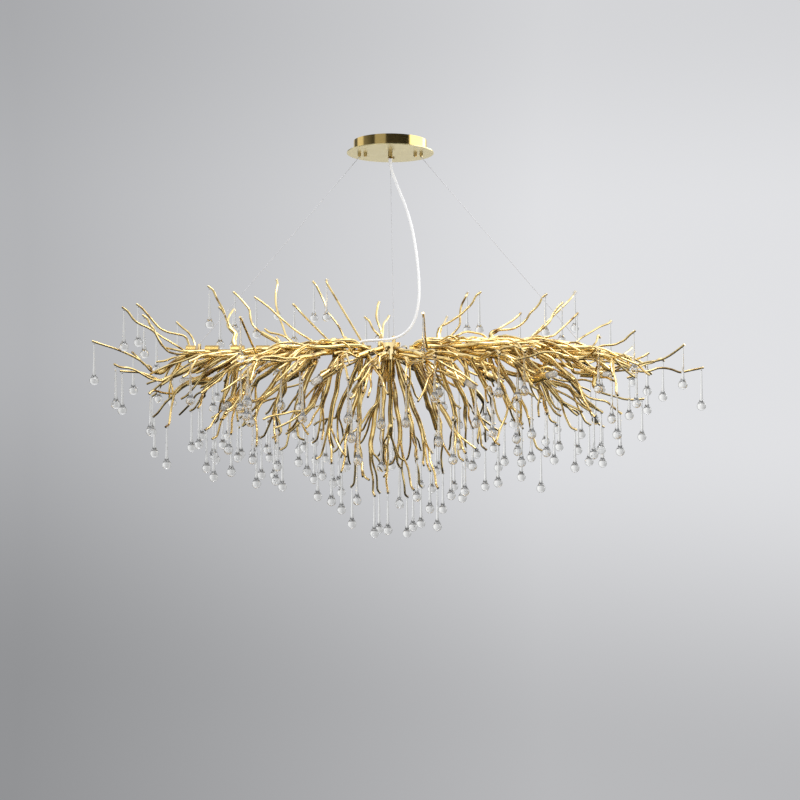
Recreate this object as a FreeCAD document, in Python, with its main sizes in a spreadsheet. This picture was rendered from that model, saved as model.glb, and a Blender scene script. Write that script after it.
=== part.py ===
# Branch chandelier: a ceiling canopy, three suspension wires, a level spine with plugged-in limbs,
# wavy twigs that fan out of the limbs, and a glass drop ringed over the tip of each twig.
# Millimetres, +Z up. The origin is on the ceiling, in the middle of the mounting bracket's top face.
import FreeCAD, Part
import math
import os
import random
import Sketcher
from FreeCAD import Vector

# Driving sizes. Each goes into one cell of the sheet under its own name.
driving_sizes = {
    # ceiling bracket
    "bracket_length": 130,
    "bracket_width": 22,
    "bracket_thickness": 2.5,
    "ceiling_hole_spacing": 70,
    "ceiling_hole_diameter": 5.2,
    "stud_spacing": 112,
    "stud_diameter": 4,
    "stud_clearance": 0.1,
    # canopy
    "canopy_depth": 27,
    "ceiling_gap": 0.5,
    "cup_diameter": 165,
    "cup_wall": 1,
    "cup_flange": 8,
    "plate_diameter": 195,
    "plate_thickness": 2,
    "cap_nut_diameter": 8,
    "cap_nut_height": 7.5,
    "cap_nut_bore": 5.5,
    "cap_nut_dome": 2,
    "block_length": 30,
    "block_width": 16,
    "block_height": 12,
    "block_hole_diameter": 3.4,
    "block_hole_spacing": 9,
    # wire grippers
    "gripper_spacing": 139,
    "gripper_diameter": 7.6,
    "gripper_height": 6,
    "neck_diameter": 6,
    "neck_height": 5,
    "neck_clearance": 0.1,
    "neck_bore": 3,
    "gripper_nut_diameter": 10,
    "gripper_nut_height": 2.5,
    "plunger_bore": 5.7,
    "plunger_bore_depth": 5.1,
    "plunger_diameter": 5.2,
    "plunger_length": 5,
    "plunger_hole": 4,
    "plunger_travel": 2,
    # cord gland
    "gland_offset": 11,
    "gland_diameter": 10,
    "gland_height": 9,
    "gland_neck": 8,
    "gland_nut_top": 8,
    "gland_nut_diameter": 12,
    "gland_nut_height": 5,
    "gland_bore": 6.6,
    # suspension
    "wire_diameter": 1.5,
    "wire_reach": 0.5,
    "wire_seat": 5,
    "wire_bore": 1.9,
    "spine_depth": 473,
    "anchor_place": 429,
    "anchor_diameter": 8,
    "anchor_height": 12,
    "post_offset": 8,
    "post_diameter": 8,
    "post_height": 15,
    "cord_diameter": 6,
    # hub and spine
    "hub_diameter": 46,
    "hub_wall": 6,
    "hub_floor": 6,
    "hub_above": 17,
    "hub_below": 17,
    "lid_thickness": 4,
    "hub_block_length": 20,
    "hub_block_width": 14,
    "hub_block_height": 9,
    "spine_diameter": 12,
    "spine_wall": 1.5,
    "spine_start": 14,
    "spine_half": 446,
    "spine_clearance": 0.2,
    "bush_place": 92,
    "bush_diameter": 11,
    "bush_length": 10,
    "bush_bore_depth": 4,
    "collar_diameter": 30,
    "collar_length": 30,
    "collar_first": 58,
    "collar_spacing": 57,
    "cap_length": 22,
    "cap_seat": 10,
    # lamps
    "arm_diameter": 8,
    "lamp_cup_diameter": 19,
    "lamp_cup_wall": 1,
    "lamp_cup_floor": 2,
    "lamp_cup_length": 50,
    "insert_length": 16,
    "bulb_diameter": 15,
    "bulb_neck": 11,
    "bulb_neck_length": 14,
    "bulb_length": 58,
    "lamp_gap": 0.3,
    # limbs and twigs
    "limb_radius": 5.4,
    "slim_limb_radius": 4.9,
    "twig_radius": 2.4,
    "twig_side_gap": 0.3,
    "socket_depth": 5,
    "socket_gap": 0.2,
    "socket_step": 15,
    "hub_row_rise": 8,
    "hub_ring_radius": 16.3,
    "root_run": 15,
    "fan_run": 8,
    "hang_run": 15,
    "hang_place": 5,
    "wave_spacing": 36,
    "free_gap": 0.8,
    # glass drops
    "ring_radius": 4.4,
    "ring_wire": 0.8,
    "ring_gap": 0.3,
    "drop_length": 100,
    "ball_diameter": 20,
    "drop_neck_top": 1.5,
    "drop_neck_foot": 3,
    "drop_swell": 24,
    # the view that the twigs' places were read in
    "spray_length": 1400,
    "spray_half_depth": 250,
    "view_distance": 2625,
}

# Places read in the view: pixels across and down, and shares of the half depth towards the back.
spray_pixels = 623
ceiling_pixel = (390.3, 141.5)
view_pixel = (400, 400)

# How bent bars are laid out: the share of a run that an arc takes, and the turn that counts as straight
bend_share = 0.45
straight_turn = 0.02

doc = FreeCAD.newDocument("branch_chandelier")
sheet = doc.addObject("Spreadsheet::Sheet", "sizes")
for row, (name, number) in enumerate(driving_sizes.items(), 1):
    sheet.set(f"A{row}", name)
    sheet.set(f"B{row}", str(number))
    sheet.setAlias(f"B{row}", name)
doc.recompute()
value = {name: float(sheet.get(name)) for name in driving_sizes}

collar_count = 7
nodes = {}


# Helpers for sizes, sketches and solids

def measure(text):
    """A sum of named sizes, such as "0.5*cup_diameter - cup_wall", as an expression and a number."""
    words, number, sign = [], 0.0, 1
    for word in text.split():
        if word in ("+", "-"):
            sign = 1 if word == "+" else -1
            words.append(word)
            continue
        share, _, name = word.rpartition("*")
        if name == "0":
            words.append("0")
            continue
        number += sign * float(share or 1) * value[name]
        words.append(f"{share}*sizes.{name}" if share else f"sizes.{name}")
    return " ".join(words), number


def size(text):
    return measure(text)[1]


def bind(item, field, text):
    """Ties one field of an object to the sheet."""
    item.setExpression(field, measure(text)[0])


def put(item, x="0", y="0", z="0"):
    """Ties an object's place to the sheet."""
    bind(item, "Placement.Base.x", x)
    bind(item, "Placement.Base.y", y)
    bind(item, "Placement.Base.z", z)
    return item


def new_body(label):
    body = doc.addObject("PartDesign::Body", label)
    body.Label = label
    return body


def sketch_on(body, role, corners):
    """A closed outline of straight sides on one of the body's own planes, each corner tied to the sheet."""
    sketch = body.newObject("Sketcher::SketchObject", f"{body.Name}_outline")
    plane = [each for each in body.Origin.OriginFeatures if each.Role == role][0]
    sketch.AttachmentSupport = [(plane, "")]
    sketch.MapMode = "FlatFace"
    places = [Vector(size(x), size(y), 0) for x, y in corners]
    count = len(corners)
    for i in range(count):
        sketch.addGeometry(Part.LineSegment(places[i], places[(i + 1) % count]), False)
    for i in range(count):
        sketch.addConstraint(Sketcher.Constraint("Coincident", i, 2, (i + 1) % count, 1))
    for i, corner in enumerate(corners):
        for kind, text in zip(("DistanceX", "DistanceY"), corner):
            number = size(text)
            k = sketch.addConstraint(Sketcher.Constraint(kind, -1, 1, i, 1, number))
            if text != "0":
                bind(sketch, f"Constraints[{k}]", text)
    return sketch


def spun(label, corners):
    """A body turned about the Z axis from an outline of (radius, height) corners."""
    body = new_body(label)
    sketch = sketch_on(body, "XZ_Plane", corners)
    turn = body.newObject("PartDesign::Revolution", f"{body.Name}_turn")
    turn.Profile = sketch
    turn.ReferenceAxis = (sketch, ["V_Axis"])
    turn.Angle = 360
    sketch.Visibility = False
    return body


def slab(label, corners, thickness):
    """A body padded upwards from an outline on the XY plane."""
    body = new_body(label)
    sketch = sketch_on(body, "XY_Plane", corners)
    pad = body.newObject("PartDesign::Pad", f"{body.Name}_pad")
    pad.Profile = sketch
    bind(pad, "Length", thickness)
    sketch.Visibility = False
    return body


def rectangle(length, width):
    """Corners of a rectangle about the origin."""
    near, far = f"- 0.5*{length}", f"0.5*{length}"
    low, high = f"- 0.5*{width}", f"0.5*{width}"
    return [(near, low), (far, low), (far, high), (near, high)]


def peg(radius, height, x="0", y="0", z="0"):
    """An upright cylinder, used as a cutter or as a plain round piece."""
    item = doc.addObject("Part::Cylinder", "peg")
    bind(item, "Radius", radius)
    bind(item, "Height", height)
    return put(item, x, y, z)


def cut(label, base, tools):
    """The base less its cutters."""
    tool = tools[0]
    if len(tools) > 1:
        tool = doc.addObject("Part::Compound", f"{label}_cutters")
        tool.Links = tools
    item = doc.addObject("Part::Cut", label)
    item.Base = base
    item.Tool = tool
    item.Label = label
    return item


def keep(item, label=None):
    """Names an object as a sub-part that is handed in."""
    label = label or item.Label
    item.Label = label
    nodes[label] = item
    return item


def feature(label, solids):
    """One node that holds one or more separate solids."""
    item = doc.addObject("Part::Feature", label)
    item.Shape = Part.makeCompound(solids)
    item.Placement = FreeCAD.Placement()
    return keep(item, label)


def unit(vector):
    return Vector(vector).normalize()


def turned_to(direction):
    """The rotation that takes +Z to a direction."""
    return FreeCAD.Rotation(Vector(0, 0, 1), direction)


def copy_at(shape, place, rotation=None):
    other = shape.copy()
    other.Placement = FreeCAD.Placement(place, rotation or FreeCAD.Rotation()).multiply(shape.Placement)
    return other


def rod(start, end, radius):
    """A round bar between two points."""
    along = end - start
    return Part.makeCylinder(radius, along.Length, start, along)


def arc_places(before, corner, after):
    """Where the arc round a corner starts, its middle, where it ends, and its radius."""
    into, out = unit(corner - before), unit(after - corner)
    half_turn = into.getAngle(out) / 2
    reach = bend_share * min((corner - before).Length, (after - corner).Length)
    radius = reach / math.tan(half_turn)
    middle = corner + unit(out - into) * (math.hypot(radius, reach) - radius)
    return corner - into * reach, middle, corner + out * reach, radius


def rounded_path(points, radii=None):
    """Straight runs joined by tangent arcs, each as large as its two runs allow."""
    edges, here = [], points[0]
    for before, corner, after in zip(points, points[1:], points[2:]):
        first, middle, last, radius = arc_places(before, corner, after)
        edges.append(Part.LineSegment(here, first).toShape())
        edges.append(Part.Arc(first, middle, last).toShape())
        here = last
        if radii is not None:
            radii.append(radius)
    edges.append(Part.LineSegment(here, points[-1]).toShape())
    return Part.Wire(edges)


def tube(points, radius, radii=None):
    """A round bar along a rounded path."""
    path = rounded_path(points, radii)
    ring = Part.Wire(Part.makeCircle(radius, points[0], points[1] - points[0]))
    return path.makePipe(Part.Face(ring))


def without_straight_corners(points):
    kept = [points[0]]
    for index in range(1, len(points) - 1):
        if unit(points[index] - kept[-1]).getAngle(unit(points[index + 1] - points[index])) > straight_turn:
            kept.append(points[index])
    return kept + [points[-1]]


# Levels and places shared by several pieces

plate_underside = -value["canopy_depth"]
plate_top = size("- canopy_depth + plate_thickness")
mouth_level = size("- canopy_depth - gripper_height - plunger_travel")
spine_level = -value["spine_depth"]
spine_radius = value["spine_diameter"] / 2
collar_radius = value["collar_diameter"] / 2
hub_radius = value["hub_diameter"] / 2
wire_radius = value["wire_diameter"] / 2

# Mounting bracket, its two pressed-in studs and the terminal block under it

bracket_blank = put(
    slab("bracket_blank", rectangle("bracket_length", "bracket_width"), "bracket_thickness"),
    z="- bracket_thickness",
)
bracket_cutters = []
for side in ("- ", ""):
    place = f"{side}0.5*ceiling_hole_spacing"
    bracket_cutters.append(
        peg("0.5*ceiling_hole_diameter", "2*bracket_thickness", place, z="- 1.5*bracket_thickness")
    )
    place = f"{side}0.5*stud_spacing"
    bracket_cutters.append(
        peg("0.5*stud_diameter + stud_clearance", "2*bracket_thickness", place, z="- 1.5*bracket_thickness")
    )
keep(cut("mounting_bracket", bracket_blank, bracket_cutters))

stud = spun("stud_pattern", [
    ("0", "0"),
    ("0.5*stud_diameter", "0"),
    ("0.5*stud_diameter", "canopy_depth + cap_nut_bore - stud_clearance"),
    ("0", "canopy_depth + cap_nut_bore - stud_clearance"),
])
block_blank = put(
    slab("terminal_blank", rectangle("block_length", "block_width"), "block_height"),
    z="- bracket_thickness - block_height",
)
block_cutters = [
    peg("0.5*block_hole_diameter", "2*block_height", f"{shift}block_hole_spacing" if shift else "0",
        z="- bracket_thickness - 1.5*block_height")
    for shift in ("- ", "", "+ ")
]
keep(cut("terminal_block", block_blank, block_cutters))

# Canopy: a spun cup against the ceiling, and a wider plate that closes it

cup = spun("canopy_cup", [
    ("0.5*cup_diameter", "0"),
    ("0.5*cup_diameter", "canopy_depth - plate_thickness - ceiling_gap"),
    ("0.5*cup_diameter - cup_wall", "canopy_depth - plate_thickness - ceiling_gap"),
    ("0.5*cup_diameter - cup_wall", "cup_wall"),
    ("0.5*cup_diameter - cup_flange", "cup_wall"),
    ("0.5*cup_diameter - cup_flange", "0"),
])
keep(put(cup, z="- canopy_depth + plate_thickness"))

plate_blank = peg("0.5*plate_diameter", "plate_thickness", z="- canopy_depth")
plate_cutters = [
    peg("0.5*stud_diameter + stud_clearance", "2*plate_thickness", f"{side}0.5*stud_spacing",
        z="- canopy_depth - 0.5*plate_thickness")
    for side in ("- ", "")
]
plate_cutters += [
    peg("0.5*neck_diameter + neck_clearance", "2*plate_thickness", place,
        z="- canopy_depth - 0.5*plate_thickness")
    for place in ("- 0.5*gripper_spacing", "0", "0.5*gripper_spacing")
]
plate_cutters.append(
    peg("0.5*gland_neck + neck_clearance", "2*plate_thickness", y="- gland_offset",
        z="- canopy_depth - 0.5*plate_thickness")
)
keep(cut("canopy_plate", plate_blank, plate_cutters))

cap_nut = spun("cap_nut_pattern", [
    ("0.5*stud_diameter + stud_clearance", "0"),
    ("0.5*cap_nut_diameter", "0"),
    ("0.5*cap_nut_diameter", "cap_nut_height - cap_nut_dome"),
    ("0.5*cap_nut_diameter - cap_nut_dome", "cap_nut_height"),
    ("0", "cap_nut_height"),
    ("0", "cap_nut_bore"),
    ("0.5*stud_diameter + stud_clearance", "cap_nut_bore"),
])

# Wire grippers: a threaded body with its nut, and a sprung release plunger in its mouth

gripper = spun("gripper_pattern", [
    ("0.5*neck_bore", "gripper_height + plate_thickness + neck_height"),
    ("0.5*neck_diameter", "gripper_height + plate_thickness + neck_height"),
    ("0.5*neck_diameter", "gripper_height"),
    ("0.5*gripper_diameter", "gripper_height"),
    ("0.5*gripper_diameter", "0"),
    ("0.5*plunger_bore", "0"),
    ("0.5*plunger_bore", "plunger_bore_depth"),
    ("0.5*neck_bore", "plunger_bore_depth"),
])
gripper_nut = spun("gripper_nut_pattern", [
    ("0.5*neck_diameter + neck_clearance", "0"),
    ("0.5*gripper_nut_diameter", "0"),
    ("0.5*gripper_nut_diameter", "gripper_nut_height"),
    ("0.5*neck_diameter + neck_clearance", "gripper_nut_height"),
])
gripper_places = {"left": "- 0.5*gripper_spacing", "centre": "0", "right": "0.5*gripper_spacing"}
for side, place in gripper_places.items():
    plunger = spun(f"gripper_plunger_{side}", [
        ("0.5*plunger_hole", "0"),
        ("0.5*plunger_diameter", "0"),
        ("0.5*plunger_diameter", "plunger_length"),
        ("0.5*plunger_hole", "plunger_length"),
    ])
    keep(put(plunger, place, z="- canopy_depth - gripper_height - plunger_travel"))

# Cord gland: a body through the plate and a flared nut

gland = spun("cord_gland_body", [
    ("0.5*gland_bore", "gland_height + plate_thickness + neck_height"),
    ("0.5*gland_neck", "gland_height + plate_thickness + neck_height"),
    ("0.5*gland_neck", "gland_height"),
    ("0.5*gland_diameter", "gland_height"),
    ("0.5*gland_diameter", "0"),
    ("0.5*gland_bore", "0"),
])
keep(put(gland, y="- gland_offset", z="- canopy_depth - gland_height"))
gland_nut = spun("cord_gland_nut", [
    ("0.5*gland_bore", "gland_nut_height"),
    ("0.5*gland_nut_top", "gland_nut_height"),
    ("0.5*gland_nut_diameter", "0"),
    ("0.5*gland_bore", "0"),
])
keep(put(gland_nut, y="- gland_offset", z="- canopy_depth - gland_height - gland_nut_height"))

# Hub: a cup on the spine's middle, its lid, the middle wire's post and a terminal block inside

hub_blank = put(spun("hub_blank", [
    ("0", "0"),
    ("0.5*hub_diameter", "0"),
    ("0.5*hub_diameter", "hub_above + hub_below"),
    ("0.5*hub_diameter - hub_wall", "hub_above + hub_below"),
    ("0.5*hub_diameter - hub_wall", "hub_floor"),
    ("0", "hub_floor"),
]), z="- spine_depth - hub_below")
cross_bore = doc.addObject("Part::Cylinder", "cross_bore")
bind(cross_bore, "Radius", "0.5*spine_diameter + spine_clearance")
bind(cross_bore, "Height", "2*hub_diameter")
cross_bore.Placement.Rotation = turned_to(Vector(1, 0, 0))
put(cross_bore, "- hub_diameter", z="- spine_depth")
hub_plain = cut("hub_plain", hub_blank, [cross_bore])
keep(peg("0.5*hub_diameter", "lid_thickness", z="- spine_depth + hub_above"), "hub_lid")
keep(put(
    slab("hub_terminal_block", rectangle("hub_block_length", "hub_block_width"), "hub_block_height"),
    z="- spine_depth - hub_below + hub_floor",
))

# Spine tubes, one each side of the hub

spine_solids = []
for side in (-1, 1):
    start = Vector(side * value["spine_start"], 0, spine_level)
    end = Vector(side * value["spine_half"], 0, spine_level)
    outer = rod(start, end, spine_radius)
    inner = rod(start, end, spine_radius - value["spine_wall"])
    spine_solids.append(outer.cut(inner))
feature("spine_tubes", spine_solids)

# Suspension wires and what holds their lower ends

post_top = Vector(value["post_offset"], 0, size("- spine_depth + hub_above + lid_thickness + post_height"))
anchor_top = spine_level + spine_radius + value["anchor_height"]
wire_feet = {
    "left": Vector(-value["anchor_place"], 0, anchor_top),
    "centre": post_top,
    "right": Vector(value["anchor_place"], 0, anchor_top),
}
wire_heads = {
    side: Vector(size(place), 0, mouth_level) for side, place in gripper_places.items()
}


def wire_line(side):
    """A wire's two ends: just inside the gripper's mouth, and down in its seat."""
    head, foot = wire_heads[side], wire_feet[side]
    along = unit(foot - head)
    return head - along * value["wire_reach"], foot + along * value["wire_seat"], along


def seat_bore(side):
    """The cutter for a wire's seat, a little wider and deeper than the wire."""
    _, end, along = wire_line(side)
    spare = (value["wire_bore"] - value["wire_diameter"]) / 2
    length = 3 * value["wire_seat"]
    return rod(end + along * spare - along * length, end + along * spare, value["wire_bore"] / 2)


for side in wire_feet:
    head, end, _ = wire_line(side)
    feature(f"suspension_wire_{side}", [rod(head, end, wire_radius)])

anchor_solids = []
for side in ("left", "right"):
    top = wire_feet[side]
    foot = Vector(top.x, 0, spine_level)
    solid = rod(foot, top, value["anchor_diameter"] / 2)
    saddle = rod(
        foot - Vector(value["anchor_diameter"], 0, 0),
        foot + Vector(value["anchor_diameter"], 0, 0),
        spine_radius + value["spine_clearance"],
    )
    solid = solid.cut(saddle).cut(seat_bore(side))
    anchor_solids.append(max(solid.Solids, key=lambda each: each.Volume))
feature("wire_anchors", anchor_solids)

post = rod(post_top - Vector(0, 0, value["post_height"]), post_top, value["post_diameter"] / 2)
feature("centre_wire_post", [post.cut(seat_bore("centre"))])

# Cord bush, where the cord goes down into the spine

bush_axis = unit(Vector(1, 0, 1))
bush_foot = Vector(-value["bush_place"], 0, spine_level)
bush_mouth = bush_foot + bush_axis * (spine_radius + value["bush_length"])
bush = rod(bush_foot, bush_mouth, value["bush_diameter"] / 2)
bush_saddle = rod(
    bush_foot - Vector(3 * value["bush_diameter"], 0, 0),
    bush_foot + Vector(3 * value["bush_diameter"], 0, 0),
    spine_radius + value["spine_clearance"],
)
bush_bore = rod(
    bush_mouth - bush_axis * value["bush_bore_depth"],
    bush_mouth + bush_axis * value["bush_bore_depth"],
    value["gland_bore"] / 2,
)
bush = bush.cut(bush_saddle).cut(bush_bore)
feature("cord_bush", [max(bush.Solids, key=lambda each: each.Volume)])

# Power cord: its route is a list of points chosen by hand, from the gland to the bush
cord_route = [
    (0, -11, -38),
    (0.2, -11, -52),
    (3, -11.5, -68),
    (12, -12.5, -92),
    (24, -14, -122),
    (38, -16, -158),
    (50, -18, -202),
    (59, -20, -256),
    (65, -21, -318),
    (64, -21, -368),
    (53, -20, -410),
    (30, -18, -436),
    (0, -14.5, -446),
    (-34, -4, -447),
    (-59.7, 0, -448),
    (-72.2, 0, -453.2),
    (-81.7, 0, -462.7),
]
cord_points = [Vector(*point) for point in cord_route]
cord_radii = []
cord = tube(cord_points, value["cord_diameter"] / 2, cord_radii)
feature("power_cord", [cord])
cord_length = rounded_path(cord_points).Length
print("cord arc radii", [round(radius, 1) for radius in cord_radii])
print("cord length", round(cord_length, 1), "volume", round(cord.Volume, 1),
      "section times length", round(math.pi * (value["cord_diameter"] / 2) ** 2 * cord_length, 1))

# Places in the view

pixel_step = value["spray_length"] / spray_pixels
view_shift = (view_pixel[0] - ceiling_pixel[0]) * pixel_step
view_level = (ceiling_pixel[1] - view_pixel[1]) * pixel_step


def place_at(across, down, depth_share):
    """The point seen at a pixel, at a share of the half depth towards the back."""
    depth = depth_share * value["spray_half_depth"]
    step = pixel_step * (1 + depth / value["view_distance"])
    return Vector(
        view_shift + (across - view_pixel[0]) * step,
        depth,
        view_level - (down - view_pixel[1]) * step,
    )


# Limbs and twigs that show in the view: a limb's end, then its twigs, each a depth share and
# the pixels it passes on the way to its tip.
shown_limb_pixels = [
    ((155, 372), [
        (-0.24, [(143, 362), (131, 355.5), (117, 349), (100, 344), (92, 341)]),
        (0.08, [(151, 366), (145, 365), (136, 357), (132, 352)]),
    ]),
    ((165, 380), [
        (-0.44, [(151, 379), (141, 373), (131, 368.5), (121, 368), (114, 364)]),
        (-0.28, [(152, 377), (141, 372.5), (130, 372), (120, 371)]),
        (-0.08, [(167, 383.5), (156.5, 388), (149, 393)]),
    ]),
    ((188, 352.5), [
        (-0.16, [(178, 354), (169, 352), (163, 346.5), (158, 339), (155, 332.5), (149, 328),
                 (142.5, 325), (135, 322), (128.5, 314), (122, 307)]),
        (-0.04, [(163, 347.5), (158, 339), (154, 329), (149.5, 324), (142.5, 315)]),
    ]),
    ((199, 362), [
        (0.24, [(197, 352), (195, 344), (193, 338), (188, 332), (181, 327), (176.6, 322)]),
        (0.08, [(191, 350), (186, 336), (177, 334), (167, 332), (159, 328), (153, 321), (148, 315),
                (140, 309), (136.5, 304)]),
    ]),
    ((203, 366), [
        (0.12, [(195, 363), (186, 358), (174, 357), (164, 361), (156.5, 362)]),
        (0.36, [(194, 358), (184, 350), (172, 343), (163, 338), (155, 332)]),
    ]),
    ((232, 330), [
        (0.16, [(225, 315), (223, 309.5), (220, 304), (216.5, 298), (210, 292), (208, 286)]),
        (0.28, [(228, 322), (224, 313), (219, 307)]),
        (0.4, [(227, 326), (229, 316), (234, 309)]),
    ]),
    ((262, 333), [
        (0.32, [(257, 331), (252, 325), (250, 317), (249.6, 309.5), (243, 302), (236, 296),
                (233.4, 292)]),
    ]),
    ((261, 364), [
        (-0.24, [(257, 354), (252, 344), (248, 335), (243, 325), (240, 317)]),
    ]),
    ((326, 352), [
        (0.4, [(321, 346.5), (311, 340), (301, 334), (292, 328), (284, 321), (277, 315), (270, 308),
               (263, 302.5), (254.6, 297)]),
    ]),
    ((338, 349), [
        (0.2, [(334, 343), (330, 336), (325, 332), (319, 325.5), (308, 321), (301, 313), (293, 304)]),
    ]),
    ((300, 348), [
        (0.48, [(292, 341), (286, 336), (283, 327), (280, 318.5), (277, 309.5), (275.5, 301),
                (275.5, 294), (278, 287), (277, 280)]),
        (0.32, [(286, 336.5), (278, 334), (269, 332.5), (265, 329)]),
        (0.16, [(288, 353.5), (284, 350), (279, 344), (276, 337)]),
    ]),
    ((345, 338), [
        (0.6, [(339, 326), (332, 317), (326, 311), (325, 303), (321, 295.5), (316, 289), (313, 281.5)]),
    ]),
    ((366, 350), [
        (0.24, [(362, 340), (356, 333), (346, 331), (341, 324), (337, 316), (335, 308), (335.5, 299),
                (333, 294), (327, 286), (326.5, 280)]),
        (-0.2, [(363.5, 341), (358, 335), (351, 331), (345, 327), (347, 321), (347, 315)]),
    ]),
    ((381, 338), [
        (0.2, [(376, 338), (373, 330), (370, 324), (364.5, 317)]),
        (0.36, [(381, 330), (379, 325), (376, 317), (378, 309.5), (379, 302)]),
        (0.5, [(383, 331), (383, 324), (387, 320), (389, 316)]),
    ]),
    ((425, 350), [
        (-0.36, [(425, 336), (424, 326), (423, 313)]),
    ]),
    ((440, 329), [
        (0.24, [(447, 324), (453, 320), (461, 315), (466, 309.5), (472, 304), (477, 295.5), (481, 292)]),
        (0.5, [(442, 327), (444, 323), (447, 317)]),
    ]),
    ((437, 345), [
        (0.44, [(443, 343), (449, 338), (455.5, 331), (460, 325), (460, 315), (461, 306), (467, 298),
                (467.6, 293)]),
    ]),
    ((496, 331), [
        (0.12, [(504, 332), (513, 329), (521, 325), (527, 319), (530, 313), (535, 309), (540, 303),
                (547, 294)]),
        (0.3, [(504, 326), (512, 321), (517, 317), (521, 313)]),
    ]),
    ((527, 341), [
        (0.08, [(532, 333), (542, 329), (550, 325), (558, 318.5), (561, 312), (565, 306), (572, 298),
                (575, 292)]),
        (0.24, [(540, 331), (550, 321), (552, 315), (559, 308), (563, 302.5)]),
        (-0.06, [(546, 337), (554, 336), (560, 330), (566.5, 324), (574, 318), (578, 313)]),
    ]),
    ((567, 353), [
        (0.16, [(571, 350), (577, 341), (586, 335), (593, 331), (599, 327), (608, 324), (611, 321)]),
        (-0.08, [(580, 342), (590, 336), (598, 334.5), (603, 335), (609, 334), (616, 326), (620, 321),
                 (624, 317), (631, 316), (641, 315), (644, 313)]),
    ]),
    ((585, 357), [
        (-0.24, [(594, 350), (601, 346), (608, 345), (615, 345), (619, 343), (625, 340), (631, 335),
                 (635.5, 330.5)]),
    ]),
    ((602, 370), [
        (0.12, [(609, 368), (617, 364), (625, 359), (630, 356), (639, 356), (645, 355.5), (649, 353)]),
        (0.28, [(610, 365), (616, 359), (623, 354.5), (628, 351), (633, 347)]),
    ]),
    ((612, 370), [
        (-0.12, [(621, 367), (631, 365), (640, 364), (649, 362), (657, 361), (664, 359), (672, 354),
                 (679, 349), (684.5, 344.5)]),
        (0, [(620, 371), (631, 370), (642, 372), (650, 371), (658, 368), (666, 368), (673, 370),
             (680, 373), (688, 371), (703.5, 367.6)]),
    ]),
    ((598, 390), [
        (0.08, [(603, 393), (609, 395), (617, 397), (623, 399), (631, 400), (644, 399)]),
    ]),
    ((576, 382), [
        (-0.24, [(580, 389), (585.5, 394), (593, 398), (601, 399), (609, 400), (616, 405), (625, 412)]),
        (-0.36, [(583, 397), (586.5, 404.5), (595, 417)]),
        (-0.12, [(585.5, 400), (592, 404.5), (603, 413)]),
    ]),
    ((600, 376), [
        (-0.32, [(606, 377), (613, 380.5)]),
    ]),
]

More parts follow.
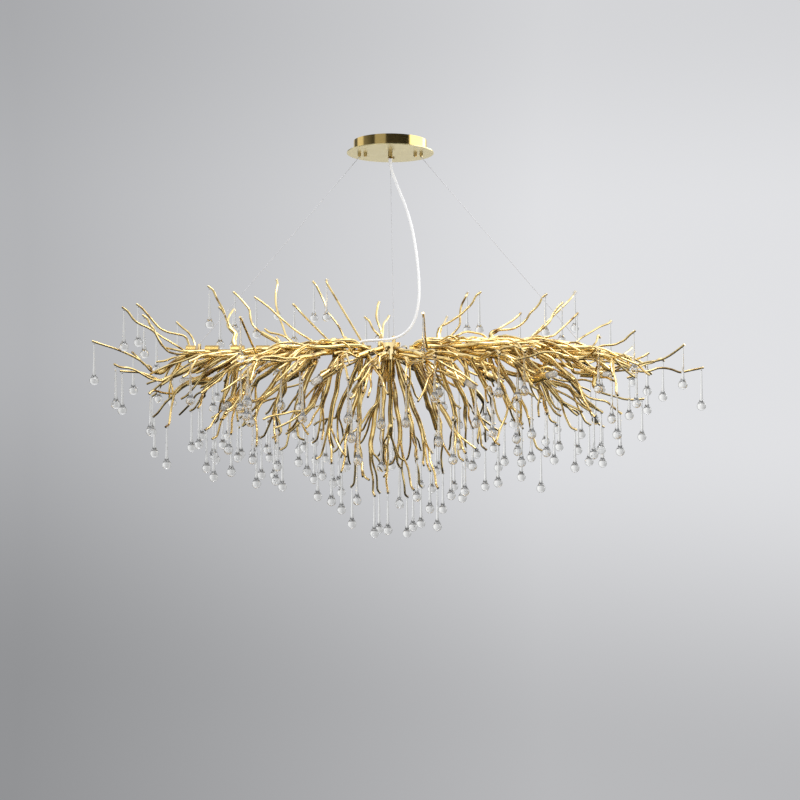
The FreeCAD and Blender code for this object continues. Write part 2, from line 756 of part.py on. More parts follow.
# Limbs whose twigs are seen only at their tips: the limb's end, then each tip and its depth share.
tip_limb_pixels = [
    ((176, 392), [(149, 394, -0.08), (153, 417, 0.04), (165.5, 427, -0.2)]),
    ((205, 390), [(190, 411, 0.16), (198, 408, -0.08), (201, 398, 0.32)]),
    ((228, 405), [(211.5, 418, -0.16), (205, 430, -0.32), (212, 439, -0.24)]),
    ((236, 400), [(231, 434, -0.44), (222, 409, 0.24), (238, 421, -0.08)]),
    ((240, 385), [(227, 401, 0.44)]),
    ((258, 405), [(256.4, 446, -0.28), (240, 418, 0.24), (252, 417, 0.08)]),
    ((275, 410), [(260, 438, 0.08), (269, 441, -0.12), (276, 443, -0.32)]),
    ((282, 395), [(266, 414, 0.36), (268, 422, 0.24), (278, 417, 0.52)]),
    ((296, 410), [(280.4, 450, 0), (299, 426, 0.24), (308, 434, -0.24)]),
    ((305, 385), [(295, 400, 0.48), (298.5, 416, 0.6), (304, 412, 0.4)]),
    ((258, 372), [(250, 384, -0.48)]),
    ((312, 365), [(302, 380, -0.56)]),
    ((240, 362), [(216, 363, 0.48), (227, 356, 0.6)]),
    ((190, 372), [(171, 367, 0.2)]),
    ((322, 405), [(314, 408, 0.48), (312.5, 443, 0.12), (322, 439, -0.08)]),
    ((330, 425), [(316, 459, -0.16), (331.6, 463, -0.36), (333.5, 447, 0.08)]),
    ((338, 415), [(314, 425, 0.32), (325, 424, 0.56), (339, 446, 0.24)]),
    ((348, 430), [(341, 457, 0.4), (341, 472, -0.24), (346, 432, 0.12)]),
    ((358, 440), [(351, 487, 0), (357, 462, -0.44)]),
    ((371, 450), [(375, 496, -0.12), (380, 493, 0.16)]),
    ((384, 445), [(388, 493, -0.28), (392, 431, 0.4), (397, 422, 0.56)]),
    ((400, 440), [(401, 468, 0.08), (414, 490, -0.08), (408, 497, 0.24)]),
    ((412, 430), [(422, 487, 0.16), (417, 459, -0.36), (421, 450, 0.44)]),
    ((424, 440), [(432, 453, 0.32), (430.5, 471, -0.2), (438, 488, -0.4)]),
    ((440, 430), [(443, 473, 0.12), (452, 458, -0.16), (436, 434, 0.04)]),
    ((381, 374), [(381, 386, -0.64)]),
    ((434, 384), [(439, 403, -0.64)]),
    ((455, 415), [(464, 461, -0.08), (450, 418, -0.52), (454, 451, 0.36)]),
    ((465, 400), [(466, 428, 0.24), (477, 419, 0.48), (473, 428, -0.32)]),
    ((478, 415), [(487, 450, 0), (499.5, 445, -0.24), (499.5, 431, 0.24)]),
    ((485, 385), [(494, 413, 0.52), (492.5, 394, -0.56), (506.5, 424, -0.08)]),
    ((508, 405), [(522, 441, 0.2), (522.5, 424, -0.36), (517, 400, -0.6)]),
    ((520, 400), [(533, 420, -0.12), (543, 451, -0.04)]),
    ((505, 372), [(513.5, 389, 0.6)]),
    ((540, 392), [(547, 414, -0.4), (546, 406, 0.24), (556, 423, 0.04)]),
    ((540, 375), [(550, 385, -0.52), (558, 394, 0.44), (558, 408, 0.56)]),
    ((560, 400), [(577, 430, -0.16), (579, 414, 0.16)]),
    ((573, 392), [(591, 425, 0.08), (604, 427, 0.32), (603, 412, -0.08)]),
    ((570, 380), [(582, 399, 0.48), (597, 384, 0.24)]),
    ((588, 356), [(600, 338, 0.44), (600, 351, -0.4), (576, 361, 0.12)]),
    ((633, 368), [(650, 375, -0.2), (664, 361, 0.24), (627, 378, -0.48)]),
]

filled_depth_share = 0.9

# Tips whose drops swing on joints of their own
swinging_pixels = [
    (92, 341), (149, 393), (165.5, 427), (212, 439), (280.4, 450), (341, 472), (375, 496),
    (438, 488), (464, 461), (543, 451), (604, 427), (644, 399), (703.5, 367.6), (684.5, 344.5),
]

# The outline of the dense middle of the spray, which is filled between the twigs seen one by one
dense_outline_pixels = [
    (140, 374), (176, 358), (243, 352), (289, 346), (326, 340), (387, 334), (448, 336), (509, 338),
    (560, 342), (600, 350), (640, 360), (655, 371), (627, 396), (596, 410), (556, 424), (510, 438),
    (470, 452), (440, 474), (408, 484), (375, 484), (341, 464), (312, 448), (280, 438), (240, 430),
    (200, 422), (166, 412), (148, 394),
]

# Lamps: the cup's base and its mouth, each a pixel and a depth share
lamp_pixels = [
    ((338, 367, -0.22), (316, 381, -0.34)),
    ((240, 397, -0.2), (228, 405, -0.38)),
    ((213, 381, 0.1), (184, 381, 0.1)),
    ((448, 372, -0.25), (470, 384, -0.36)),
    ((532, 380, -0.25), (550, 375, -0.42)),
    ((580, 373, 0.12), (609, 375, 0.12)),
    ((300, 372, 0.3), (284, 380, 0.48)),
    ((480, 372, 0.3), (496, 380, 0.48)),
    ((365, 378, 0.3), (355, 392, 0.42)),
    ((425, 376, 0.3), (436, 390, 0.42)),
]


def pixel_of(point):
    """The pixel that a point is seen at."""
    step = pixel_step * (1 + point.y / value["view_distance"])
    return (
        view_pixel[0] + (point.x - view_shift) / step,
        view_pixel[1] + (view_level - point.z) / step,
    )


def in_outline(point):
    """Whether a point is seen inside the dense outline and lies within the spray's depth."""
    if abs(point.y) > filled_depth_share * value["spray_half_depth"]:
        return False
    across, down = pixel_of(point)
    inside = False
    corners = dense_outline_pixels
    for (ax, ay), (bx, by) in zip(corners, corners[1:] + corners[:1]):
        if (ay > down) != (by > down) and across < ax + (down - ay) * (bx - ax) / (by - ay):
            inside = not inside
    return inside


# Free space, kept as balls in a grid

cell = 7 * value["twig_radius"]
space = {}


def along_path(points, radius, tag):
    """Balls along a rounded path."""
    stops = [points[0]]
    for before, corner, after in zip(points, points[1:], points[2:]):
        first, middle, last, _ = arc_places(before, corner, after)
        stops += [first, middle, last]
    stops.append(points[-1])
    balls = []
    for start, end in zip(stops, stops[1:]):
        count = max(1, math.ceil((end - start).Length / value["twig_radius"]))
        for i in range(count):
            balls.append((start + (end - start) * (i / count), radius, tag))
    balls.append((stops[-1], radius, tag))
    return balls


def key_of(point):
    return tuple(int(math.floor(part / cell)) for part in (point.x, point.y, point.z))


def occupy(balls):
    for ball in balls:
        space.setdefault(key_of(ball[0]), []).append(ball)


widest = {"ball": 0.0}


def is_clear(balls, gap, passed=(), near=None, near_gap=0.0):
    """Whether balls keep a gap from all that stands already; tags in passed don't count."""
    for point, radius, _ in balls:
        span = int(math.ceil((radius + gap + widest["ball"]) / cell))
        x, y, z = key_of(point)
        for i in range(x - span, x + span + 1):
            for j in range(y - span, y + span + 1):
                for k in range(z - span, z + span + 1):
                    for other, other_radius, tag in space.get((i, j, k), ()):
                        if tag in passed:
                            continue
                        room = near_gap if tag == near else gap
                        if (other - point).Length < radius + other_radius + room:
                            return False
    return True


def stand(balls):
    widest["ball"] = max(widest["ball"], max(ball[1] for ball in balls))
    occupy(balls)


# Collars and end caps, with the places where limbs can plug in

spots_round_collar = 6
spots_on_cap = 5
cap_ring_share = 0.6
hub_rows = 2
hub_first_share, hub_step_share, hub_stagger_share = 0.17, 0.22, 0.05
collar_places = [
    side * (value["collar_first"] + index * value["collar_spacing"])
    for side in (-1, 1)
    for index in range(collar_count)
]
spots = []
for number, place in enumerate(collar_places):
    for row, shift in enumerate((-0.5, 0.5)):
        for index in range(spots_round_collar):
            angle = 2 * math.pi * (index + 0.5 * row) / spots_round_collar
            normal = Vector(0, math.cos(angle), math.sin(angle))
            middle = Vector(place + shift * value["socket_step"], 0, spine_level)
            spots.append((middle + normal * collar_radius, normal, f"collar {number}"))
cap_end = size("spine_half - cap_seat + cap_length")
for side in (-1, 1):
    for index in range(spots_on_cap):
        angle = 2 * math.pi * index / spots_on_cap + math.pi / 2
        outward = Vector(0, math.cos(angle), math.sin(angle)) * (cap_ring_share * collar_radius)
        spots.append((Vector(side * cap_end, 0, spine_level) + outward, Vector(side, 0, 0), f"cap {side}"))

for row in range(hub_rows):
    rise = 2 * row - 1
    for index in range(8):
        turn_share = hub_first_share + hub_step_share * (index % 4) + hub_stagger_share * row + index // 4
        angle = math.pi * turn_share
        normal = Vector(math.cos(angle), math.sin(angle), 0)
        middle = Vector(0, 0, spine_level + rise * value["hub_row_rise"])
        spots.append((middle + normal * hub_radius, normal, "hub"))
for index in range(spots_round_collar):
    angle = 2 * math.pi * (index + 0.5) / spots_round_collar
    outward = Vector(math.cos(angle), math.sin(angle), 0) * value["hub_ring_radius"]
    spots.append((Vector(0, 0, spine_level - value["hub_below"]) + outward, Vector(0, 0, -1), "hub"))

half_collar = value["collar_length"] / 2
rim_ball = collar_radius / 5
rim_balls = 20
for number, place in enumerate(collar_places):
    ends = [Vector(place + side * (half_collar - collar_radius * 0.5), 0, spine_level) for side in (-1, 1)]
    stand(along_path(ends, collar_radius, f"collar {number}"))
    for side in (-1, 1):
        for index in range(rim_balls):
            angle = 2 * math.pi * index / rim_balls
            rim = Vector(0, math.cos(angle), math.sin(angle)) * (collar_radius - rim_ball)
            rim += Vector(place + side * (half_collar - rim_ball), 0, spine_level)
            stand([(rim, rim_ball, f"collar {number}")])
for side in (-1, 1):
    ends = [
        Vector(side * (cap_end - value["cap_length"] + collar_radius * 0.5), 0, spine_level),
        Vector(side * (cap_end - collar_radius * 0.5), 0, spine_level),
    ]
    stand(along_path(ends, collar_radius, f"cap {side}"))
    ends = [Vector(side * value["spine_start"], 0, spine_level), Vector(side * cap_end, 0, spine_level)]
    stand(along_path(ends, spine_radius, "spine"))
hub_ends = [
    Vector(0, 0, spine_level + value["hub_above"] + value["lid_thickness"] - 0.5 * hub_radius),
    Vector(0, 0, spine_level - value["hub_below"] + 0.5 * hub_radius),
]
stand(along_path(hub_ends, hub_radius, "hub"))
for side in wire_feet:
    head, end, _ = wire_line(side)
    stand(along_path([head, end], wire_radius, "wire"))
    stand(along_path([wire_feet[side], wire_feet[side] - Vector(0, 0, value["post_height"])],
                     value["anchor_diameter"] / 2, "anchor"))
stand(along_path([bush_foot, bush_mouth], value["bush_diameter"] / 2, "bush"))
stand(along_path(cord_points, value["cord_diameter"] / 2, "cord"))


# Lamp places

def lamp_line(base, mouth):
    start = place_at(*base)
    return start, unit(place_at(*mouth) - start)


lamp_lines = [lamp_line(*pair) for pair in lamp_pixels]
lamp_lines.append((Vector(0, 0, spine_level - value["hub_below"]), Vector(0, 0, -1)))
for number, (start, along) in enumerate(lamp_lines):
    reach = size("lamp_cup_floor + insert_length + bulb_length")
    spare = value["lamp_cup_diameter"] / 2
    stand(along_path([start + along * spare, start + along * (reach - spare)], spare, f"lamp {number}"))


# Limbs: each plugs into the spot that gives it the straightest way

spigot_radius = 0.6 * value["limb_radius"]
taken = {}
steepest_tilt = math.radians(52)
widest_tilt = math.radians(84)
widest_turn = math.radians(75)
tilt_cost_share = 2.3
turn_cost_share = 2
furthest_share = 9
shortest_share = 1.6
limb_sway_share = 0.05
short_bow_share = 0.1
arrival_shares = (0.7, 0.35, 0)
limb_depth_share = 0.45
limb_depth_tries = (0, 0.08, -0.08, 0.16, -0.16, 0.26, -0.26)
outward_share = 1.25


def limb_path(spot, end, last, radius):
    """A limb's path from a spot on a collar to its end, arriving along a given direction."""
    foot, normal, _ = spot
    way = unit(end - foot)
    tilt = normal.getAngle(way)
    if tilt > widest_tilt:
        return None
    if tilt > steepest_tilt:
        side = unit(way - normal * way.dot(normal))
        way = normal * math.cos(steepest_tilt) + side * math.sin(steepest_tilt)
        tilt = steepest_tilt
    rise = (value["socket_gap"] + radius * math.sin(tilt)) / math.cos(tilt)
    start = foot + way * rise
    run = value["root_run"]
    bend = start + way * run
    turn_in = end - last * run
    room = (turn_in - bend).Length
    if (turn_in - bend).dot(way) < 0 or (end - start).Length < shortest_share * run:
        return None
    if room < run:
        points = [start, (start + end) * 0.5 + way * short_bow_share * run, end]
        return without_straight_corners(points), way, tilt, foot
    points = [start, bend]
    count = int(room // value["wave_spacing"])
    side = unit((turn_in - bend).cross(Vector(0.3, 1, 0)))
    for index in range(1, count + 1):
        share = index / (count + 1)
        sway = side * ((-1) ** index * limb_sway_share * value["wave_spacing"])
        points.append(bend + (turn_in - bend) * share + sway)
    points += [turn_in, end]
    return without_straight_corners(points), way, tilt, foot


def off_own_seat(balls, foot, normal):
    """Whether a limb stays above the face that it leaves, once it has left it."""
    away = 2 * value["root_run"]
    return all(
        normal.dot(point - foot) > radius + value["free_gap"]
        for point, radius, _ in balls
        if value["root_run"] < (point - foot).Length < away
    )


def sharpest(points):
    """The largest turn on a path."""
    turns = [
        unit(b - a).getAngle(unit(c - b)) for a, b, c in zip(points, points[1:], points[2:])
    ]
    return max(turns) if turns else 0


def plug_in(end, last, radius, tag, passed=()):
    """Chooses a spot for a limb or lamp arm and takes it."""
    found = []
    for index, spot in enumerate(spots):
        if index in taken:
            continue
        distance = (spot[0] - end).Length
        if distance > furthest_share * value["collar_diameter"]:
            continue
        path = limb_path(spot, end, last, radius)
        if path is None:
            continue
        points, way, tilt, foot = path
        turn = sharpest(points)
        if turn > widest_turn:
            continue
        away = tilt_cost_share * math.sin(tilt) ** 2 + turn_cost_share * turn
        cost = distance + away * value["collar_length"]
        found.append((cost, index, points, way))
    for cost, index, points, way in sorted(found, key=lambda each: each[0]):
        balls = along_path(points, radius, tag)
        foot, _, collar = spots[index]
        if not off_own_seat(balls, foot, spots[index][1]):
            continue
        if not is_clear(balls, value["free_gap"], passed + (collar, "spine")):
            continue
        taken[index] = (way, tag)
        spigot = along_path([foot, points[0]], spigot_radius, tag)
        stand(balls + spigot)
        return points, way, foot
    return None


lamp_arms = []
for number, (start, along) in enumerate(lamp_lines[:-1]):
    made = plug_in(start, along, value["arm_diameter"] / 2, f"arm {number}", (f"lamp {number}",))
    if made is None:
        print("no way for lamp arm", number)
        continue
    lamp_arms.append(made)

limb_plans = []
for end, twigs in shown_limb_pixels:
    share = limb_depth_share * sum(twig[0] for twig in twigs) / len(twigs)
    point = place_at(*end, share)
    routes = []
    for tip_share, pixels in twigs:
        lengths = [0.0]
        for a, b in zip([end] + pixels, pixels):
            lengths.append(lengths[-1] + math.dist(a, b))
        way = [
            place_at(*pixel, share + (tip_share - share) * length / lengths[-1])
            for pixel, length in zip(pixels, lengths[1:])
        ]
        routes.append((pixels[-1], tip_share, way))
    limb_plans.append((end, share, point, routes))
for end, tips in tip_limb_pixels:
    share = limb_depth_share * sum(tip[2] for tip in tips) / len(tips)
    routes = [((tip[0], tip[1]), tip[2], [place_at(*tip)]) for tip in tips]
    limb_plans.append((end, share, place_at(*end, share), routes))

# Filler limbs and twigs: how they lean off their collars, how long they are and how they spread

filler_tries = 150
filler_lean = (math.radians(4), math.radians(22))
filler_sweep = math.radians(50)
low_rise = (math.radians(66), math.radians(80))
droop_share = 0.15
filler_limb_shares = (1.7, 5.2)
filler_twig_shares = (1.6, 4.4)
filler_spread = (math.radians(18), math.radians(46))
twigs_each = 4
fewest_twigs = 2
tries_each = 25
twig_droop_share = 0.1
tip_spacing_share = 0.8
arrival_spread = 0.45
rising_share = 0.3
sweep_place_share = 0.6
centre_place_share = 0.3
centre_reach_share = 1.4


def any_turn(direction, tilt, chance):
    """A direction at a tilt from another one, turned about it by chance."""
    side = unit(direction.cross(Vector(0.3, 0.5, 1)))
    other = direction.cross(side)
    around = chance.uniform(0, 2 * math.pi)
    return unit(
        direction * math.cos(tilt) + (side * math.cos(around) + other * math.sin(around)) * math.sin(tilt))


def fan(end, last, count, chance, tips=()):
    """Places of twig tips that fan out from a limb's end, inside the outline and apart from other tips."""
    found = []
    for _ in range(tries_each * count):
        heading = any_turn(last, chance.uniform(*filler_spread), chance)
        reach = chance.uniform(*filler_twig_shares) * value["collar_length"]
        tip = end + heading * reach - Vector(0, 0, twig_droop_share * reach)
        if not in_outline(tip):
            continue
        room = tip_spacing_share * value["collar_length"]
        if any((tip - other).Length < room for other in list(tips) + found):
            continue
        found.append(tip)
        if len(found) == count:
            break
    return found


def filler_routes(tag, tips, first):
    """Routes of filler twigs. Only a route numbered 0 carries a drop."""
    return [
        ((tag, number), tip.y / value["spray_half_depth"], [tip]) for number, tip in enumerate(tips, first)
    ]


limb_solids_plan = []
left_out = []
for number, (end, share, point, routes) in enumerate(
        sorted(limb_plans, key=lambda plan: abs(plan[2].z - spine_level) + abs(plan[2].y))):
    mean = Vector(0, 0, 0)
    for _, _, way in routes:
        mean += unit(way[0] - point)
    nearest = min(collar_places, key=lambda place: abs(place * outward_share - point.x))
    outward = unit(point - Vector(nearest, 0, spine_level))
    made = None
    radius = value["limb_radius"] if len(routes) > 1 else value["slim_limb_radius"]
    for blend in arrival_shares:
        for shift in limb_depth_tries:
            moved = place_at(*end, share + shift)
            last = unit(unit(mean) * blend + outward)
            made = plug_in(moved, last, radius, f"limb {number}")
            if made:
                break
        if made:
            break
    if made is None:
        left_out.append(("limb", end))
        continue
    last = unit(made[0][-1] - made[0][-2])
    tag = f"limb {number}"
    if len(routes[0][2]) == 1 and len(routes) > 1:
        tips = [way[-1] for _, _, way in routes]
        more = fan(moved, last, twigs_each - len(routes), random.Random(number), tips)
        routes = routes + filler_routes(tag, more, 1)
    limb_solids_plan.append((tag, made, moved, last, routes, share + shift, radius))
print("limbs", len(limb_solids_plan), "of", len(limb_plans), "left out", left_out)


free_spots = [index for index in range(len(spots)) if index not in taken]
random.Random(5).shuffle(free_spots)
fillers = 0
for index in free_spots:
    foot, normal, collar = spots[index]
    for attempt in range(filler_tries):
        chance = random.Random(100 * index + attempt)
        sweep_share = min(1, abs(foot.x) / (sweep_place_share * value["spine_half"]))
        lean = chance.uniform(*filler_lean) + filler_sweep * sweep_share
        side = 1 if foot.x > 0 else -1
        along = Vector(side, 0, 0)
        if normal.z > rising_share:
            lean = chance.uniform(*low_rise)
        elif normal.z == -1:
            along = unit(Vector(foot.x, foot.y, 0))
        elif collar == "hub" or collar.startswith("cap"):
            along = Vector(0, 0, chance.uniform(-1, 0.2))
        way = unit(normal * math.cos(lean) + along * math.sin(lean) - Vector(0, 0, droop_share))
        low, high = filler_limb_shares
        if way.z < -rising_share and abs(foot.x) < centre_place_share * value["spine_half"]:
            high *= centre_reach_share
        reach = chance.uniform(low, high) * value["collar_length"]
        end = foot + way * reach
        if not in_outline(end):
            continue
        last = any_turn(way, chance.uniform(0, arrival_spread), chance)
        path = limb_path(spots[index], end, last, value["limb_radius"])
        if path is None or sharpest(path[0]) > widest_turn:
            continue
        tag = f"filler {index}"
        balls = along_path(path[0], value["limb_radius"], tag)
        if not off_own_seat(balls, foot, normal):
            continue
        if not is_clear(balls, value["free_gap"], (collar, "spine")):
            continue
        last = unit(path[0][-1] - path[0][-2])
        tips = fan(end, last, twigs_each, chance)
        if len(tips) < fewest_twigs:
            continue
        taken[index] = (path[1], tag)
        stand(balls + along_path([foot, path[0][0]], spigot_radius, tag))
        made = (path[0], path[1], foot)
        routes = filler_routes(tag, tips, 0)
        limb_solids_plan.append((tag, made, end, last, routes, 0, value["limb_radius"]))
        fillers += 1
        break
print("filler limbs", fillers)


# Twigs: two or three start side by side on a limb's end, run straight for a little, then fan out

twig_radius = value["twig_radius"]
steepest_hang = math.radians(35)
joint_share = 0.3
wave_shares = (0.04, 0.1)
side_wave_share = 0.08
bow_shares = (-0.03, 0.1)
stagger_share = 0.15
tightest_share = 1.4
shortest_run_share = 2.4
seat_share = 1.3
ring_rise = value["twig_radius"] + value["ring_wire"] + value["ring_gap"]
ball_radius = value["ball_diameter"] / 2
ring_top = value["ring_radius"] + value["ring_wire"]
ball_level = -(value["drop_length"] - ring_top - ball_radius)


def slots_for(last, headings):
    """Side by side places on a limb's end, each nearest to the way its twig goes."""
    count = len(headings)
    if count == 1:
        return [Vector(0, 0, 0)]
    u = unit(last.cross(Vector(0, 1, 0.2)))
    v = last.cross(u)
    angles = [math.atan2(heading.dot(v), heading.dot(u)) for heading in headings]
    order = sorted(range(count), key=lambda i: angles[i])
    step = 2 * math.pi / count
    x = sum(math.cos(angles[i] - k * step) for k, i in enumerate(order))
    y = sum(math.sin(angles[i] - k * step) for k, i in enumerate(order))
    base = math.atan2(y, x)
    reach = (2 * twig_radius + value["twig_side_gap"]) / 2 / math.sin(math.pi / count)
    places = [None] * count
    for k, i in enumerate(order):
        angle = base + k * step
        places[i] = (u * math.cos(angle) + v * math.sin(angle)) * reach
    return places


def level_heading(way, fallback):
    flat = Vector(way.x, way.y, 0)
    if flat.Length < 2 * twig_radius:
        flat = Vector(fallback.x, fallback.y, 0)
    if flat.Length < 2 * twig_radius:
        flat = Vector(1, 0, 0)
    return unit(flat)


def twig_path(start, last, way, hang_length, chance):
    """A twig's path: its points, the direction it hangs its drop along and that direction's slope."""
    step_out = start + last * value["fan_run"]
    tip = way[-1]
    before = way[-2] if len(way) > 1 else start
    heading = level_heading(tip - before, tip - start)
    if len(way) > 1:
        rise = (tip - before).z / max((tip - before).Length, 1e-6)
        slope = max(-steepest_hang, min(steepest_hang, math.asin(max(-1, min(1, rise)))))
    else:
        slope = -chance.uniform(0.5, 1) * steepest_hang
    hang = heading * math.cos(slope) + Vector(0, 0, math.sin(slope))
    knee = tip - hang * hang_length
    spacing = 5 * twig_radius
    points = [start, step_out]
    if len(way) > 1:
        for point in way[:-1]:
            sway = Vector(chance.uniform(-1, 1), chance.uniform(-1, 1), chance.uniform(-1, 1))
            point = point + sway * (joint_share * twig_radius)
            if (point - points[-1]).Length < spacing or (point - knee).Length < spacing:
                continue
            if (knee - point).dot(hang) < 0:
                continue
            points.append(point)
    else:
        span = knee - step_out
        count = int(span.Length // value["wave_spacing"])
        side = unit(span.cross(Vector(0.2, 1, 0.1)))
        other = unit(span.cross(side))
        sign = chance.choice((-1, 1))
        bow = chance.uniform(*bow_shares) * span.Length
        for index in range(1, count + 1):
            share = (index + chance.uniform(-stagger_share, stagger_share)) / (count + 1)
            sway = side * (sign * (-1) ** index * chance.uniform(*wave_shares) * value["wave_spacing"])
            sway += other * (chance.uniform(-side_wave_share, side_wave_share) * value["wave_spacing"])
            sway += Vector(0, 0, bow * math.sin(math.pi * share))
            points.append(step_out + span * share + sway)
    points += [knee, tip]
    points = without_straight_corners(points)
    return points, hang, heading, slope


def path_works(points, radius):
    """Whether every run is long enough and every bend wide enough."""
    for a, b in zip(points, points[1:]):
        if (b - a).Length < shortest_run_share * radius:
            return False
    for a, b, c in zip(points, points[1:], points[2:]):
        half_turn = unit(b - a).getAngle(unit(c - b)) / 2
        if half_turn > widest_tilt / 2:
            return False
        reach = bend_share * min((b - a).Length, (c - b).Length)
        if reach / math.tan(half_turn) < tightest_share * radius:
            return False
    return True


def drop_place(tip, hang, slope):
    """The point on the twig's axis that a drop hangs at, and the middle of its ring."""
    grip = tip - hang * value["hang_place"]
    lift = ring_rise / math.cos(slope) - value["ring_radius"]
    return grip, grip + Vector(0, 0, lift)


def drop_balls(centre, tag):
    """Balls for the ring, the neck and the ball under it."""
    lower = [(centre, ring_top, tag)]
    flare = ball_level + 2 * ball_radius
    level = -ring_top - value["drop_neck_foot"]
    while level > flare:
        lower.append((centre + Vector(0, 0, level), value["drop_neck_foot"], tag))
        level -= value["drop_neck_foot"]
    lower.append((centre + Vector(0, 0, ball_level + 1.4 * ball_radius), 0.45 * ball_radius, tag))
    lower.append((centre + Vector(0, 0, ball_level), ball_radius, tag))
    return lower


def swung(balls, pivot, axis, degrees):
    turn = FreeCAD.Rotation(axis, degrees)
    return [(pivot + turn.multVec(point - pivot), radius, tag) for point, radius, tag in balls]


def apart(some, others, gap):
    return all(
        (a[0] - b[0]).Length > a[1] + b[1] + gap for a in some for b in others
    )


jobs = []
limb_balls = {}
for tag, made, end, last, routes, share, radius in limb_solids_plan:
    limb_balls[tag] = along_path(made[0], radius, tag)
    headings = [unit(way[0] - end) for _, _, way in routes]
    for place, (pixel, tip_share, way) in zip(slots_for(last, headings), routes):
        jobs.append((tag, end, last, place, pixel, tip_share, way, share))
swinging = {pixel: index for index, pixel in enumerate(swinging_pixels, 1)}


def job_order(job):
    pixel = job[4]
    return (isinstance(pixel[0], str), pixel not in swinging, len(job[6]) == 1, job[6][-1].z)


def tries_of(way, filler):
    """The ways to lay a twig, nearest to its place first. A plain one keeps only its last two points."""
    for plain in (False, True) if len(way) > 2 else (False,):
        for pixel_shift in filler_pixel_tries if filler else pixel_tries:
            for depth_shift in filler_depth_tries if filler else depth_tries:
                for attempt in range(len(hang_shares) * (1 if filler else 2)):
                    yield plain, pixel_shift, depth_shift, attempt


def shifted(way, pixel_shift, depth_shift):
    """A way moved more and more towards its tip, by pixels and by a depth share."""
    moved = []
    for index, point in enumerate(way, 1):
        part = index / len(way)
        across, down = pixel_of(point)
        depth_share = point.y / value["spray_half_depth"] + depth_shift * part
        moved.append(place_at(across + pixel_shift[0] * part, down + pixel_shift[1] * part, depth_share))
    return moved


jobs.sort(key=job_order)
hang_shares = (1, 1, 1.6, 1.6)
swing_steps = (-15, -7.5, 0, 7.5, 15)
depth_tries = [0, 0.05, -0.05, 0.1, -0.1, 0.16, -0.16, 0.23, -0.23, 0.32, -0.32, 0.42, -0.42, 0.6, -0.6]
pixel_tries = [
    (0, 0), (1.5, 0), (-1.5, 0), (0, 1.5), (0, -1.5), (3, 2), (-3, 2), (3, -3), (-3, -3), (5, 0), (-5, 0),
]
filler_depth_tries = depth_tries[:7]
filler_pixel_tries = pixel_tries[:5]
twig_plans = []
lost = []
for number, (limb_tag, end, last, place, pixel, tip_share, way, share) in enumerate(jobs):
    start = end + place
    found = None
    tag = f"twigs of {limb_tag}"
    filler = isinstance(pixel[0], str)
    swings = swing_steps if pixel in swinging else (0,)
    for plain, pixel_shift, depth_shift, attempt in tries_of(way, filler):
        if abs(tip_share + depth_shift) > 1:
            continue
        chance = random.Random(1000 * number + attempt)
        moved = shifted(way[-2:] if plain else way, pixel_shift, depth_shift)
        hang_length = hang_shares[attempt % len(hang_shares)] * value["hang_run"]
        points, hang, heading, slope = twig_path(start, last, moved, hang_length, chance)
        if not path_works(points, twig_radius):
            continue
        balls = along_path(points, twig_radius, tag)
        root = [ball for ball in balls if (ball[0] - start).Length < 3 * value["fan_run"]]
        rest = balls[len(root):]
        beyond = [ball for ball in root if (ball[0] - start).Length > seat_share * value["fan_run"]]
        if not apart(beyond, limb_balls[limb_tag], value["twig_side_gap"]):
            continue
        if not is_clear(root, value["free_gap"], (limb_tag,), tag, value["twig_side_gap"] / 2):
            continue
        if not is_clear(rest, value["free_gap"]):
            continue
        grip, centre = drop_place(moved[-1], hang, slope)
        drop = drop_balls(centre, "drop")
        if filler and pixel[1] > 0:
            drop, centre = [], None
        clear_of = [ball for ball in balls if (ball[0] - grip).Length > hang_length]
        swept = [swung(drop, grip, hang, degrees) for degrees in swings]
        if all(
            is_clear(some, value["free_gap"] + value["ring_gap"]) and apart(some, clear_of, value["free_gap"])
            for some in swept
        ):
            found = (points, grip, centre, heading, hang, swinging.get(pixel))
            break
    if not found:
        lost.append(pixel)
        continue
    stand(balls)
    for some in swept:
        if some:
            stand(some)
    twig_plans.append(found)
print("twigs", len(twig_plans), "of", len(jobs), "left out", lost)


# Patterns turned from arcs and straight runs, in the XZ plane

def turned(edges):
    """A solid turned about the Z axis from a chain of edges that starts and ends on that axis."""
    edges = edges + [Part.LineSegment(edges[-1].EndPoint, edges[0].StartPoint)]
    face = Part.Face(Part.Wire([edge.toShape() for edge in edges]))
    return face.revolve(Vector(0, 0, 0), Vector(0, 0, 1), 360)


def run(x0, z0, x1, z1):
    return Part.LineSegment(Vector(x0, 0, z0), Vector(x1, 0, z1))


def glass_drop():
    """A ring, a long neck and a ball in one piece. Its origin is the middle of the ring."""
    foot = value["drop_neck_foot"]
    swell = value["drop_swell"]
    rise = math.sqrt((ball_radius + swell) ** 2 - (foot + swell) ** 2)
    neck_end = ball_level + rise
    neck_start = -value["ring_radius"]
    part = ball_radius / (ball_radius + swell)
    meet = Vector((foot + swell) * part, 0, ball_level + rise * part)
    centre = Vector(foot + swell, 0, neck_end)
    half = unit(unit(Vector(foot, 0, neck_end) - centre) + unit(meet - centre))
    flare = Part.Arc(Vector(foot, 0, neck_end), centre + half * swell, meet)
    ball_centre = Vector(0, 0, ball_level)
    side = ball_centre + unit(unit(meet - ball_centre) + Vector(0.6, 0, -1)) * ball_radius
    ball = Part.Arc(meet, side, ball_centre - Vector(0, 0, ball_radius))
    stem = turned([
        run(0, neck_start, value["drop_neck_top"], neck_start),
        run(value["drop_neck_top"], neck_start, foot, neck_end),
        flare,
        ball,
    ])
    ring = Part.makeTorus(value["ring_radius"], value["ring_wire"], Vector(0, 0, 0), Vector(1, 0, 0))
    return ring.fuse(stem)


